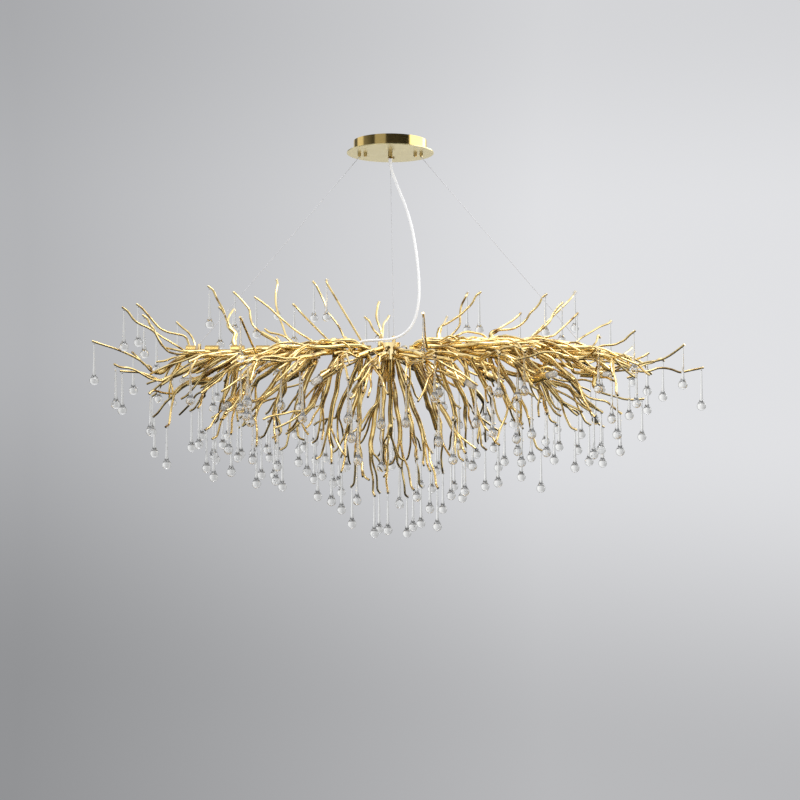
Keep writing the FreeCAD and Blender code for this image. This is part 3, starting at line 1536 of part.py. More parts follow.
def lamp_bulb():
    """A frosted capsule on a narrower neck. Its origin is the middle of the neck's foot."""
    neck, wide = value["bulb_neck"] / 2, value["bulb_diameter"] / 2
    level = value["bulb_neck_length"]
    top = value["bulb_length"]
    corner = Vector(wide, 0, top - wide)
    middle = Vector(wide * math.sin(math.pi / 4), 0, top - wide + wide * math.cos(math.pi / 4))
    return turned([
        run(0, 0, neck, 0),
        run(neck, 0, neck, level),
        run(neck, level, wide, level + wide - neck),
        run(wide, level + wide - neck, wide, top - wide),
        Part.Arc(corner, middle, Vector(0, 0, top)),
    ])


# Fasteners and grippers, copied from their patterns

doc.recompute()
studs, cap_nuts = [], []
for side in (-1, 1):
    place = side * value["stud_spacing"] / 2
    studs.append(copy_at(stud.Shape, Vector(place, 0, size("- canopy_depth - cap_nut_bore + stud_clearance"))))
    flip = FreeCAD.Rotation(Vector(1, 0, 0), 180)
    cap_nuts.append(copy_at(cap_nut.Shape, Vector(place, 0, plate_underside), flip))
feature("bracket_studs", studs)
feature("canopy_cap_nuts", cap_nuts)
grippers, gripper_nuts = [], []
for place in gripper_places.values():
    grippers.append(copy_at(gripper.Shape, Vector(size(place), 0, size("- canopy_depth - gripper_height"))))
    gripper_nuts.append(copy_at(gripper_nut.Shape, Vector(size(place), 0, plate_top)))
feature("gripper_bodies", grippers)
feature("gripper_nuts", gripper_nuts)

# Limbs, with a slim spigot at the root that sits in a collar's socket

sockets = []


def limb_solid(points, way, foot, radius):
    """A limb with its spigot; its socket is noted for the collar."""
    bottom = foot - way * (value["socket_depth"] - value["socket_gap"])
    inside = points[0] + way * (0.3 * value["root_run"])
    sockets.append((foot, way))
    return tube(points, radius).fuse(rod(bottom, inside, spigot_radius))


limb_nodes = {"limbs_left": [], "limbs_right": []}
for tag, (points, way, foot), end, last, routes, share, radius in limb_solids_plan:
    label = "limbs_left" if foot.x < 0 else "limbs_right"
    limb_nodes[label].append(limb_solid(points, way, foot, radius))
arm_solids = [limb_solid(points, way, foot, value["arm_diameter"] / 2) for points, way, foot in lamp_arms]
for label, solids in limb_nodes.items():
    feature(label, solids)
feature("lamp_arms", arm_solids)

# Socket collars and end caps along the spine

spine_bore = spine_radius + value["spine_clearance"]


def with_sockets(solid, low, high):
    """Drills the sockets whose mouths lie between two places along the spine."""
    cutters = [
        rod(foot - way * value["socket_depth"], foot + way * (2 * value["socket_depth"]),
            spigot_radius + value["socket_gap"])
        for foot, way in sockets if low <= foot.x <= high
    ]
    return solid.cut(cutters) if cutters else solid


collars = []
for place in collar_places:
    low, high = place - half_collar, place + half_collar
    ends = [Vector(low, 0, spine_level), Vector(high, 0, spine_level)]
    solid = rod(ends[0], ends[1], collar_radius).cut(rod(ends[0], ends[1], spine_bore))
    collars.append(with_sockets(solid, low, high))
feature("socket_collars", collars)
caps = []
for side in (-1, 1):
    outer = Vector(side * cap_end, 0, spine_level)
    inner = outer - Vector(side * value["cap_length"], 0, 0)
    seat = inner + Vector(side * value["cap_seat"], 0, 0)
    solid = rod(inner, outer, collar_radius).cut(rod(inner, seat, spine_bore))
    low, high = sorted((inner.x, outer.x))
    caps.append(with_sockets(solid, low - value["socket_gap"], high + value["socket_gap"]))
feature("spine_end_caps", caps)

doc.recompute()
hub_reach = hub_radius + value["socket_gap"]
on_hub = [(foot, way) for foot, way in sockets if math.hypot(foot.x, foot.y) < hub_reach]
hub_cutters = [
    rod(foot - way * value["socket_depth"], foot + way * (2 * value["socket_depth"]),
        spigot_radius + value["socket_gap"])
    for foot, way in on_hub
]
feature("hub_body", [hub_plain.Shape.cut(hub_cutters) if hub_cutters else hub_plain.Shape])

# Lamps: a metal cup, a ceramic insert on its floor and a frosted bulb in the insert

cup_radius = value["lamp_cup_diameter"] / 2
cup_bore = cup_radius - value["lamp_cup_wall"]
floor = value["lamp_cup_floor"]
cup_pattern = Part.makeCylinder(cup_radius, value["lamp_cup_length"]).cut(
    Part.makeCylinder(cup_bore, value["lamp_cup_length"], Vector(0, 0, floor)))
insert_pattern = Part.makeCylinder(cup_bore - value["lamp_gap"], value["insert_length"], Vector(0, 0, floor))
bulb_pattern = copy_at(lamp_bulb(), Vector(0, 0, size("lamp_cup_floor + insert_length")))
for label, pattern in (("lamp_cups", cup_pattern), ("lamp_inserts", insert_pattern), ("bulbs", bulb_pattern)):
    feature(label, [copy_at(pattern, start, turned_to(along)) for start, along in lamp_lines])

# Twigs and drops, shared out in zones from left to right

twig_plans.sort(key=lambda plan: plan[0][-1].x)
twig_zones, drop_zones = 9, 5


def zone_of(index, count, zones):
    return min(zones - 1, index * zones // count) + 1


drop_pattern = glass_drop()
twig_groups, drop_groups = {}, {}
still = [plan for plan in twig_plans if plan[5] is None and plan[2] is not None]
for index, plan in enumerate(twig_plans):
    twig_groups.setdefault(zone_of(index, len(twig_plans), twig_zones), []).append(tube(plan[0], twig_radius))
for index, (_, _, centre, heading, _, _) in enumerate(still):
    turn = FreeCAD.Rotation(Vector(0, 0, 1), math.degrees(math.atan2(heading.y, heading.x)))
    drop_groups.setdefault(zone_of(index, len(still), drop_zones), []).append(
        copy_at(drop_pattern, centre, turn))
for zone, solids in sorted(twig_groups.items()):
    feature(f"twigs_zone_{zone}", solids)
for zone, solids in sorted(drop_groups.items()):
    feature(f"drops_zone_{zone}", solids)
for _, grip, centre, heading, hang, swing in twig_plans:
    if swing is None:
        continue
    turn = FreeCAD.Rotation(Vector(0, 0, 1), math.degrees(math.atan2(heading.y, heading.x)))
    feature(f"swing_drop_{swing}", [copy_at(drop_pattern, centre, turn)])
    print("swing", swing, [round(part, 6) for part in (*grip, *hang)])

# Check and write

doc.recompute()
for item in doc.Objects:
    if "Invalid" in item.State or "Error" in item.State:
        raise RuntimeError(f"{item.Name} has state {item.State}")
total = {"volume": 0.0, "moment": Vector(0, 0, 0)}
for label, item in nodes.items():
    if item.Shape.isNull() or not item.Shape.isValid():
        raise RuntimeError(f"{label} has no valid shape")
    if not item.Shape.Solids:
        raise RuntimeError(f"{label} has no solid")
    for solid in item.Shape.Solids:
        total["volume"] += solid.Volume
        total["moment"] += solid.CenterOfMass * solid.Volume
    print(label, len(item.Shape.Solids), round(item.Shape.Volume, 1))
print("centre of volume", total["moment"] * (1 / total["volume"]))
os.makedirs("parts", exist_ok=True)
for label, item in nodes.items():
    item.Shape.exportStep(f"parts/{label}.step")
print("nodes", len(nodes))
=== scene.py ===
import math

import bpy
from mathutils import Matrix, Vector


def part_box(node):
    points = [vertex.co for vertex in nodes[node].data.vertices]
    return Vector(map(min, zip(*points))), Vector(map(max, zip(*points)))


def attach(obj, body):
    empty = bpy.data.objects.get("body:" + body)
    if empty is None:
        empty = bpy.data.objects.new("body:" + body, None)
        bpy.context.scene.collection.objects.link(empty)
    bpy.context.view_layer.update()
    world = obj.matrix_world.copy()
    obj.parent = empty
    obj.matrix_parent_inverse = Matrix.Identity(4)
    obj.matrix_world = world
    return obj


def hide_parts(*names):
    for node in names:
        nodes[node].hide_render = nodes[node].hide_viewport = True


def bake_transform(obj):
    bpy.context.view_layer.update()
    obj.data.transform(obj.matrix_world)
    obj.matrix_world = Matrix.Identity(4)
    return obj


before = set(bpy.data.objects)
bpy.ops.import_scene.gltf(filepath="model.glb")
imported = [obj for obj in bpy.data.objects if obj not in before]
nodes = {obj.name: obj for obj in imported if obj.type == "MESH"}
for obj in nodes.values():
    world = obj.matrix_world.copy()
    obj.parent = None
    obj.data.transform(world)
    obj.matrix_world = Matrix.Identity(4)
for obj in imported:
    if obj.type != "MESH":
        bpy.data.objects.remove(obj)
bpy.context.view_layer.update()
print("frame loaded:", len(nodes), "nodes")


# small helpers

def deselectAll():
    bpy.ops.object.select_all(action="DESELECT")


def choose(piece):
    deselectAll()
    bpy.context.view_layer.objects.active = piece
    piece.select_set(True)


def newMaterial(name):
    mat = bpy.data.materials.new(name)
    mat.use_nodes = True
    tree = mat.node_tree
    return mat, tree, tree.nodes["Principled BSDF"]


def addNode(tree, kind, **settings):
    node = tree.nodes.new(kind)
    for key, setting in settings.items():
        setattr(node, key, setting)
    return node


def feed(tree, socket, value):  # a link from another node, a colour or a plain number
    if isinstance(value, bpy.types.NodeSocket):
        tree.links.new(value, socket)
    elif isinstance(value, tuple):
        socket.default_value = (*value, 1)
    else:
        socket.default_value = value


def mixColours(tree, first, second, factor, blend="MIX"):
    node = addNode(tree, "ShaderNodeMix", data_type="RGBA", blend_type=blend)
    feed(tree, node.inputs[0], factor)
    feed(tree, node.inputs[6], first)  # the node's colour sockets are 6 and 7, and its colour comes out at 2
    feed(tree, node.inputs[7], second)
    return node.outputs[2]


def mathNode(tree, operation, first, second):
    node = addNode(tree, "ShaderNodeMath", operation=operation)
    feed(tree, node.inputs[0], first)
    feed(tree, node.inputs[1], second)
    return node.outputs[0]


def mapRange(tree, value, low, high, toLow=0.0, toHigh=1.0, curve="LINEAR"):
    node = addNode(tree, "ShaderNodeMapRange", interpolation_type=curve)
    node.inputs["From Min"].default_value = low
    node.inputs["From Max"].default_value = high
    node.inputs["To Min"].default_value = toLow
    node.inputs["To Max"].default_value = toHigh
    tree.links.new(value, node.inputs["Value"])
    return node.outputs["Result"]


def nodesNamed(*starts):
    return [nodes[name] for name in sorted(nodes) if name.startswith(starts)]


def dress(targets, mat):
    for target in targets:
        if not target.material_slots:
            target.data.materials.append(mat)
        for slot in target.material_slots:
            slot.material = mat


def roundEdges(piece, width, segments):
    rounding = piece.modifiers.new("rounding", "BEVEL")
    rounding.width = width
    rounding.segments = segments
    rounding.limit_method = "ANGLE"


def applyModifiers(piece):
    bpy.context.view_layer.objects.active = piece
    for modifier in list(piece.modifiers):
        bpy.ops.object.modifier_apply(modifier=modifier.name)


creaseDegrees = {"made": 40, "packed": 38}  # edges that turn more than this stay crisp


# camera, level and straight in front, with the spray a little above the middle of the picture
camera = {"place": (0.0218, -2.625, -0.5809), "lens": 52.57, "sensor": 36}
bpy.ops.object.camera_add(location=camera["place"], rotation=(math.radians(90), 0, 0))
shotCamera = bpy.context.object
shotCamera.name = "shotCamera"
shotCamera.data.lens = camera["lens"]
shotCamera.data.sensor_width = camera["sensor"]
bpy.context.scene.camera = shotCamera
print("camera set")

# power cord, from the gland down to the bush on the spine
cordSettings = {
    "diameter": 0.006,
    "length": 0.536,
    "exit": (0, -0.011, -0.041),
    "sways": ((0, -0.011, -0.045), (-0.06, 0, -0.448)),  # canopy at the first point, pendant at the second
    "stepsPerPoint": 12,
    "roundness": 6,
    "route": [  # in millimetres, as in the part's own route
        (0, -11, -38),
        (0.2, -11, -52),
        (3, -11.5, -68),
        (12, -12.5, -92),
        (24, -14, -122),
        (38, -16, -158),
        (50, -18, -202),
        (59, -20, -256),
        (65, -21, -318),
        (64, -21, -368),
        (53, -20, -410),
        (30, -18, -436),
        (0, -14.5, -446),
        (-34, -4, -447),
        (-59.7, 0, -448),
        (-72.2, 0, -453.2),
        (-81.7, 0, -462.7),
    ],
}


def cordCurve(settings):
    route = settings["route"]
    line = bpy.data.curves.new("powerCord", "CURVE")
    line.dimensions = "3D"
    spline = line.splines.new("NURBS")
    spline.points.add(len(route) - 1)
    for point, (x, y, z) in zip(spline.points, route):
        point.co = (x / 1000, y / 1000, z / 1000, 1)
    spline.order_u = 3
    spline.use_endpoint_u = True
    spline.resolution_u = settings["stepsPerPoint"]
    spline.use_smooth = True
    return line


cordLine = cordCurve(cordSettings)
powerCord = bpy.data.objects.new("powerCordCover", cordLine)
bpy.context.scene.collection.objects.link(powerCord)
bpy.context.view_layer.update()
cordPath = [tuple(vertex.co) for vertex in bpy.data.meshes.new_from_object(powerCord).vertices]
cordLine.bevel_depth = cordSettings["diameter"] / 2
cordLine.bevel_resolution = cordSettings["roundness"]
cordLine.use_fill_caps = True
choose(powerCord)
bpy.ops.object.convert(target="MESH")
bpy.ops.object.shade_smooth()
powerCord = bpy.context.object
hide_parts("power_cord")
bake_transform(powerCord)
print("cord laid")

# tapered sleeve that eases the cord's bend where it leaves the gland, with shallow grooves round it
sleeveSettings = {
    "length": 0.016,
    "topRadius": 0.0043,
    "endRadius": 0.0034,
    "grooves": 3,
    "grooveDepth": 0.0003,
    "sides": 40,
    "bevel": 0.0003,
}


def cordSleeve(settings):
    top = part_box("cord_gland_nut")[0].z
    middle = (0, cordSettings["exit"][1], top - settings["length"] / 2)
    deselectAll()
    bpy.ops.mesh.primitive_cylinder_add(
        vertices=settings["sides"], radius=settings["topRadius"], depth=settings["length"], location=middle)
    bpy.ops.object.transform_apply(location=True)
    sleeve = bpy.context.object
    sleeve.name = "cordSleeve"
    steps = settings["grooves"] * 3 + 1  # a groove takes three: down, up and along
    levels = [top - settings["length"] * step / steps for step in range(1, steps + 1)]
    bpy.ops.object.mode_set(mode="EDIT")
    bpy.ops.mesh.select_mode(type="VERT")
    for level in levels[:-1]:
        bpy.ops.mesh.select_all(action="SELECT")
        bpy.ops.mesh.bisect(plane_co=(0, 0, level), plane_no=(0, 0, 1))
    bpy.ops.mesh.select_all(action="DESELECT")
    bpy.ops.object.mode_set(mode="OBJECT")
    taper = settings["endRadius"] / settings["topRadius"] - 1
    reach = settings["length"] / steps / 3  # picks the ring of points at one level
    for step, level in enumerate(levels, start=1):
        for vertex in sleeve.data.vertices:
            vertex.select = abs(vertex.co.z - level) < reach
        wide = 1 + taper * step / steps
        if step % 3 == 2:
            wide -= settings["grooveDepth"] / settings["topRadius"]
        bpy.ops.object.mode_set(mode="EDIT")
        bpy.ops.transform.resize(value=(wide, wide, 1), center_override=(0, middle[1], level))
        bpy.ops.mesh.select_all(action="DESELECT")
        bpy.ops.object.mode_set(mode="OBJECT")
    roundEdges(sleeve, settings["bevel"], segments=2)
    applyModifiers(sleeve)
    bpy.ops.object.shade_smooth_by_angle(angle=math.radians(creaseDegrees["made"]))
    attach(sleeve, "canopy")
    return sleeve


sleeve = cordSleeve(sleeveSettings)
print("sleeve made")

# clamp screw in the right side of the gland nut: a domed head with a slot across it
screwSettings = {
    "radius": 0.0025,
    "length": 0.005,
    "showing": 0.8,  # the share of its length that stands out of the nut
    "slotDepth": 0.0007,
    "slotWidth": 0.0009,
    "sides": 32,
    "bevel": 0.0008,
}


def clampScrew(settings):
    low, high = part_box("cord_gland_nut")
    outer = high.x + settings["length"] * settings["showing"]
    across, up = cordSettings["exit"][1], low.z + settings["radius"]
    deselectAll()
    bpy.ops.mesh.primitive_cylinder_add(
        vertices=settings["sides"], radius=settings["radius"], depth=settings["length"],
        location=(outer - settings["length"] / 2, across, up), rotation=(0, math.radians(90), 0))
    bpy.ops.object.transform_apply(location=True, rotation=True)
    screw = bpy.context.object
    screw.name = "clampScrew"
    bpy.ops.mesh.primitive_cube_add(size=1, location=(outer, across, up))
    cutter = bpy.context.object  # half of it stands outside the head
    cutter.dimensions = (settings["slotDepth"] * 2, settings["radius"] * 3, settings["slotWidth"])
    bpy.ops.object.transform_apply(location=True, scale=True)
    roundEdges(screw, settings["bevel"], segments=3)
    slotCut = screw.modifiers.new("slotCut", "BOOLEAN")
    slotCut.object = cutter
    slotCut.solver = "EXACT"
    applyModifiers(screw)
    bpy.data.objects.remove(cutter)
    choose(screw)
    bpy.ops.object.shade_smooth_by_angle(angle=math.radians(creaseDegrees["made"]))
    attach(screw, "canopy")
    return screw


screw = clampScrew(screwSettings)
print("clamp screw made")


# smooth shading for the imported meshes, kept crisp where two faces meet at an edge
mergeDistance = 0.000002


def smoothGroup():
    group = bpy.data.node_groups.new("smoothFaces", "GeometryNodeTree")
    group.interface.new_socket("Geometry", in_out="INPUT", socket_type="NodeSocketGeometry")
    group.interface.new_socket("Geometry", in_out="OUTPUT", socket_type="NodeSocketGeometry")
    start = group.nodes.new("NodeGroupInput")
    end = group.nodes.new("NodeGroupOutput")
    merge = group.nodes.new("GeometryNodeMergeByDistance")
    merge.inputs["Distance"].default_value = mergeDistance
    faces = addNode(group, "GeometryNodeSetShadeSmooth", domain="FACE")
    edges = addNode(group, "GeometryNodeSetShadeSmooth", domain="EDGE")
    edges.inputs["Shade Smooth"].default_value = False
    angle = group.nodes.new("GeometryNodeInputMeshEdgeAngle")
    sharp = addNode(group, "FunctionNodeCompare", operation="GREATER_THAN")
    sharp.inputs[1].default_value = math.radians(creaseDegrees["packed"])
    group.links.new(start.outputs[0], merge.inputs["Geometry"])
    group.links.new(merge.outputs[0], faces.inputs["Geometry"])
    group.links.new(faces.outputs[0], edges.inputs["Geometry"])
    group.links.new(angle.outputs["Unsigned Angle"], sharp.inputs[0])
    group.links.new(sharp.outputs[0], edges.inputs["Selection"])
    group.links.new(edges.outputs[0], end.inputs[0])
    return group


smoothFaces = smoothGroup()
for node in nodes.values():
    modifier = node.modifiers.new("smoothFaces", "NODES")
    modifier.node_group = smoothFaces
print("smooth shading added")


# shared effects, as node groups that put out masks only

def newEffect(name, inputs, outputs):
    group = bpy.data.node_groups.new(name, "ShaderNodeTree")
    for title, value in inputs.items():
        kind = "NodeSocketVector" if isinstance(value, tuple) else "NodeSocketFloat"
        group.interface.new_socket(title, in_out="INPUT", socket_type=kind).default_value = value
    for title in outputs:
        group.interface.new_socket(title, in_out="OUTPUT", socket_type="NodeSocketFloat")
    return group, group.nodes.new("NodeGroupInput"), group.nodes.new("NodeGroupOutput")


def castGrainEffect():
    group, start, end = newEffect("castGrain", {"Fine": 160.0, "Broad": 22.0}, ["Height", "Patch"])
    place = group.nodes.new("ShaderNodeTexCoord")
    fine = group.nodes.new("ShaderNodeTexNoise")
    broad = group.nodes.new("ShaderNodeTexNoise")
    broad.inputs["Detail"].default_value = 3
    for noise, scale, title in ((fine, "Fine", "Height"), (broad, "Broad", "Patch")):
        group.links.new(place.outputs["Object"], noise.inputs["Vector"])
        group.links.new(start.outputs[scale], noise.inputs["Scale"])
        group.links.new(noise.outputs["Fac"], end.inputs[title])
    return group


def brushLinesEffect():
    group, start, end = newEffect("brushLines", {"Stretch": (30.0, 30.0, 2500.0)}, ["Streak"])
    place = group.nodes.new("ShaderNodeTexCoord")
    stretch = addNode(group, "ShaderNodeVectorMath", operation="MULTIPLY")
    noise = group.nodes.new("ShaderNodeTexNoise")
    noise.inputs["Scale"].default_value = 1
    noise.inputs["Detail"].default_value = 4
    group.links.new(place.outputs["Object"], stretch.inputs[0])
    group.links.new(start.outputs["Stretch"], stretch.inputs[1])
    group.links.new(stretch.outputs[0], noise.inputs["Vector"])
    group.links.new(noise.outputs["Fac"], end.inputs["Streak"])
    return group


castGrain = castGrainEffect()
brushLines = brushLinesEffect()


def placeEffect(tree, effect, **values):
    node = addNode(tree, "ShaderNodeGroup", node_tree=effect)
    for title, value in values.items():
        node.inputs[title].default_value = value
    return node


def tint(tree, shader, look, mask):  # goes from the light colour and the finer polish to the deep and rougher
    feed(tree, shader.inputs["Base Color"], mixColours(tree, look["light"], look["deep"], mask))
    feed(tree, shader.inputs["Roughness"], mapRange(tree, mask, 0, 1, *look["polish"]))


def roughen(tree, shader, height, look):
    lift = tree.nodes.new("ShaderNodeBump")
    lift.inputs["Strength"].default_value = look["bump"]
    lift.inputs["Distance"].default_value = look["relief"]
    feed(tree, lift.inputs["Height"], height)
    feed(tree, shader.inputs["Normal"], lift.outputs[0])


# cast and drawn metals: two colours in patches, a patchy polish and a fine grain
metalLooks = {
    "castGold": {
        "light": (0.98, 0.755, 0.33), "deep": (0.24, 0.13, 0.03), "polish": (0.05, 0.13), "coat": 0.5,
        "metal": 1.0, "fine": 150.0, "broad": 34.0, "spread": (0.5, 0.7), "bump": 0.03, "relief": 0.0006,
    },
    # darker and rougher than the cast gold: the darker colour is painted shade, for the spine and collars
    # that sit in shadow behind the spray
    "spineGoldPaintedShade": {
        "light": (0.62, 0.44, 0.16), "deep": (0.46, 0.31, 0.10), "polish": (0.26, 0.36), "coat": 0.0,
        "metal": 1.0, "fine": 200.0, "broad": 40.0, "spread": (0.35, 0.65), "bump": 0.04, "relief": 0.0006,
    },
    "fittingGold": {
        "light": (1.0, 0.84, 0.47), "deep": (0.92, 0.70, 0.33), "polish": (0.06, 0.12), "coat": 0.3,
        "metal": 1.0, "fine": 300.0, "broad": 60.0, "spread": (0.35, 0.65), "bump": 0.05, "relief": 0.0006,
    },
    "brightSteel": {
        "light": (0.80, 0.80, 0.82), "deep": (0.66, 0.66, 0.68), "polish": (0.2, 0.34), "coat": 0.0,
        "metal": 1.0, "fine": 400.0, "broad": 60.0, "spread": (0.35, 0.65), "bump": 0.06, "relief": 0.0006,
    },
    "wireSteel": {
        "light": (0.66, 0.66, 0.68), "deep": (0.60, 0.60, 0.62), "polish": (0.75, 0.85), "coat": 0.0,
        "metal": 0.25, "fine": 900.0, "broad": 30.0, "spread": (0.35, 0.65), "bump": 0.0, "relief": 0.0006,
    },
}
coatPolish = 0.04


def castMetal(name):
    look = metalLooks[name]
    mat, tree, shader = newMaterial(name)
    grain = placeEffect(tree, castGrain, Fine=look["fine"], Broad=look["broad"])
    tint(tree, shader, look, mapRange(tree, grain.outputs["Patch"], *look["spread"]))
    roughen(tree, shader, grain.outputs["Height"], look)
    shader.inputs["Metallic"].default_value = look["metal"]
    shader.inputs["Coat Weight"].default_value = look["coat"]
    shader.inputs["Coat Roughness"].default_value = coatPolish
    return mat


# spun and brushed sheet: fine lines drawn out along the way it was worked
sheetLooks = {
    "spunWall": {
        "light": (0.92, 0.69, 0.28), "deep": (0.78, 0.56, 0.19), "polish": (0.08, 0.15),
        "stretch": (25.0, 25.0, 2600.0), "spread": (0.3, 0.7), "bump": 0.03, "relief": 0.0001,
    },
    "brushedPlate": {
        "light": (1.0, 0.875, 0.51), "deep": (0.90, 0.78, 0.41), "polish": (0.26, 0.38),
        "stretch": (40.0, 1900.0, 1900.0), "spread": (0.3, 0.7), "bump": 0.08, "relief": 0.0001,
    },
}


def brushedSheet(name):
    look = sheetLooks[name]
    mat, tree, shader = newMaterial(name)
    lines = placeEffect(tree, brushLines, Stretch=look["stretch"])
    tint(tree, shader, look, mapRange(tree, lines.outputs["Streak"], *look["spread"]))
    roughen(tree, shader, lines.outputs["Streak"], look)
    shader.inputs["Metallic"].default_value = 1
    return mat


# moulded, fired and painted surfaces: a faint mottle and a skin that isn't quite even
mouldedLooks = {
    "cordSheath": {
        "light": (0.90, 0.90, 0.90), "deep": (0.84, 0.84, 0.85), "polish": (0.36, 0.46),
        "fine": 700.0, "broad": 45.0, "spread": (0.35, 0.65), "bump": 0.02, "relief": 0.0003,
    },
    "mouldedNylon": {
        "light": (0.80, 0.80, 0.78), "deep": (0.72, 0.72, 0.70), "polish": (0.4, 0.5),
        "fine": 500.0, "broad": 60.0, "spread": (0.35, 0.65), "bump": 0.1, "relief": 0.0003,
    },
    "glazedCeramic": {
        "light": (0.86, 0.84, 0.78), "deep": (0.76, 0.73, 0.66), "polish": (0.2, 0.32),
        "fine": 500.0, "broad": 130.0, "spread": (0.35, 0.65), "bump": 0.06, "relief": 0.0003,
    },
    "floorPaint": {
        "light": (0.57, 0.575, 0.585), "deep": (0.54, 0.545, 0.555), "polish": (0.65, 0.75),
        "fine": 90.0, "broad": 1.5, "spread": (0.35, 0.65), "bump": 0.05, "relief": 0.0003,
    },
}


def moulded(name):
    look = mouldedLooks[name]
    mat, tree, shader = newMaterial(name)
    grain = placeEffect(tree, castGrain, Fine=look["fine"], Broad=look["broad"])
    tint(tree, shader, look, mapRange(tree, grain.outputs["Patch"], *look["spread"]))
    roughen(tree, shader, grain.outputs["Height"], look)
    return mat


# glass: clear face on and grey to near black at the rim, a painted dark rim: painted shade in the base colour
# as the surface turns away
glassLooks = {
    "clearGlass": {
        "clear": (0.985, 0.99, 1.0), "rim": (0.05, 0.055, 0.065), "rimSpan": (0.32, 0.95),
        "polish": (0.0, 0.012), "ior": 1.5, "pass": 1.0,
        "fine": 60.0, "broad": 90.0, "spread": (0.3, 0.7), "bump": 0.05, "relief": 0.0004,
    },
    "frostedGlass": {
        "clear": (1.0, 0.97, 0.91), "rim": (0.22, 0.19, 0.15), "rimSpan": (0.4, 0.9),
        "polish": (0.2, 0.28), "ior": 1.45, "pass": 0.7,
        "fine": 500.0, "broad": 90.0, "spread": (0.3, 0.7), "bump": 0.04, "relief": 0.0004,
    },
}


def glass(name):
    look = glassLooks[name]
    mat, tree, shader = newMaterial(name)
    grain = placeEffect(tree, castGrain, Fine=look["fine"], Broad=look["broad"])
    edge = tree.nodes.new("ShaderNodeLayerWeight")
    # painted shade: the base colour darkens towards the rim as the surface turns from view
    rim = mapRange(tree, edge.outputs["Facing"], *look["rimSpan"])
    feed(tree, shader.inputs["Base Color"], mixColours(tree, look["clear"], look["rim"], rim))
    polish = mapRange(tree, grain.outputs["Patch"], *look["spread"], *look["polish"])
    feed(tree, shader.inputs["Roughness"], polish)
    roughen(tree, shader, grain.outputs["Height"], look)
    shader.inputs["IOR"].default_value = look["ior"]
    shader.inputs["Transmission Weight"].default_value = look["pass"]
    return mat


fittingGold = castMetal("fittingGold")
dress(nodesNamed("limbs", "twigs", "lamp_arms", "lamp_cups"), castMetal("castGold"))
# the spine and socket collars get the darker gold, which is painted shade
dress(nodesNamed("spine", "socket"), castMetal("spineGoldPaintedShade"))
dress(nodesNamed("hub_body", "hub_lid", "cord_bush", "wire_anchors", "centre_wire_post"), fittingGold)
dress(nodesNamed("cord_gland", "gripper", "canopy_cap"), fittingGold)
dress([screw], fittingGold)
dress(nodesNamed("canopy_cup"), brushedSheet("spunWall"))
dress(nodesNamed("canopy_plate"), brushedSheet("brushedPlate"))
dress(nodesNamed("mounting_bracket", "bracket_studs", "gripper_nuts"), castMetal("brightSteel"))
dress(nodesNamed("suspension_wire"), castMetal("wireSteel"))
dress(nodesNamed("terminal_block", "hub_terminal"), moulded("mouldedNylon"))
dress(nodesNamed("lamp_inserts"), moulded("glazedCeramic"))
dress(nodesNamed("bulbs"), glass("frostedGlass"))
dress(nodesNamed("drops_zone", "swing_drop"), glass("clearGlass"))
dress([powerCord, sleeve], moulded("cordSheath"))
print("finishes set")

# floor, which the metal and the glass don't mirror, because the studio's dark side shows there
floorSettings = {"radius": 2.0, "level": -2.3, "sides": 96}
deselectAll()
bpy.ops.mesh.primitive_circle_add(
    vertices=floorSettings["sides"], radius=floorSettings["radius"], fill_type="NGON",
    location=(0, 0, floorSettings["level"]))
studioFloor = bpy.context.object
studioFloor.name = "studioFloor"
studioFloor.visible_glossy = False
studioFloor.visible_transmission = False
dress([studioFloor], moulded("floorPaint"))

# studio: levels of pale and dark panels round the object, by degrees from the camera towards the right
studioSettings = {
    "light": 0.9,
    "blue": 0.985,  # blue against red and green in the panels
    "metal": {
        -180: 0.66, -152: 0.6, -148: 0.12, -126: 0.12, -122: 0.85, -95: 0.8, -90: 0.22, -56: 0.05,
        -50: 0.05, -47: 0.42, -16: 0.38, -11: 0.03, 60: 0.02, 67: 2.2, 118: 2.2, 124: 3.4, 138: 3.4,
        144: 1.0, 160: 0.75, 180: 0.66,
    },
    "metalLow": {  # mirrored by the spray more than by the canopy
        -180: 0.76, -154: 0.74, -149: 0.01, -88: 0.01, -84: 0.9, -60: 1.0, -50: 1.35, -30: 1.35,
        -22: 1.1, 20: 1.05, 58: 0.95, 64: 1.4, 80: 1.4, 84: 0.01, 138: 0.01, 142: 1.2,
        160: 0.88, 180: 0.76,
    },
    "metalRises": (0.06, 0.14),  # the heights where the low panels give way to the others
    "glass": {
        -180: 0.6, -165: 0.5, -150: 0.52, -135: 0.6, -112: 0.5, -100: 0.3, -70: 0.3, -60: 0.6,
        60: 0.7, 100: 0.7, 112: 0.9, 140: 1.0, 158: 0.85, 170: 0.72, 180: 0.6,
    },
    "overhead": (0.45, 0.62),
    "metalCeiling": 1.15,
    "glassCeiling": 0.95,
    "behind": (-0.25, 0.15),
    "metalGround": {"front": 0.05, "back": 0.01, "span": (-0.12, -0.26), "drop": 0.26},
    "glassGround": {"front": 0.12, "back": 0.1, "span": (-0.36, -0.66), "drop": 0.0},
    "backLeft": (0.45, 0.455, 0.47),
    "backRight": (0.75, 0.755, 0.775),
    "backAcross": (-0.3, 0.12),
    "backRound": (0.66, 0.665, 0.68),  # the rest of the way round, away from the backdrop
    "backAhead": (0.55, 0.8),
    "backFoot": {"level": 0.64, "span": (0.02, -0.27)},
    "backHead": {"level": 0.88, "span": (0.15, 0.32)},
    "backTilt": 0.12,
}


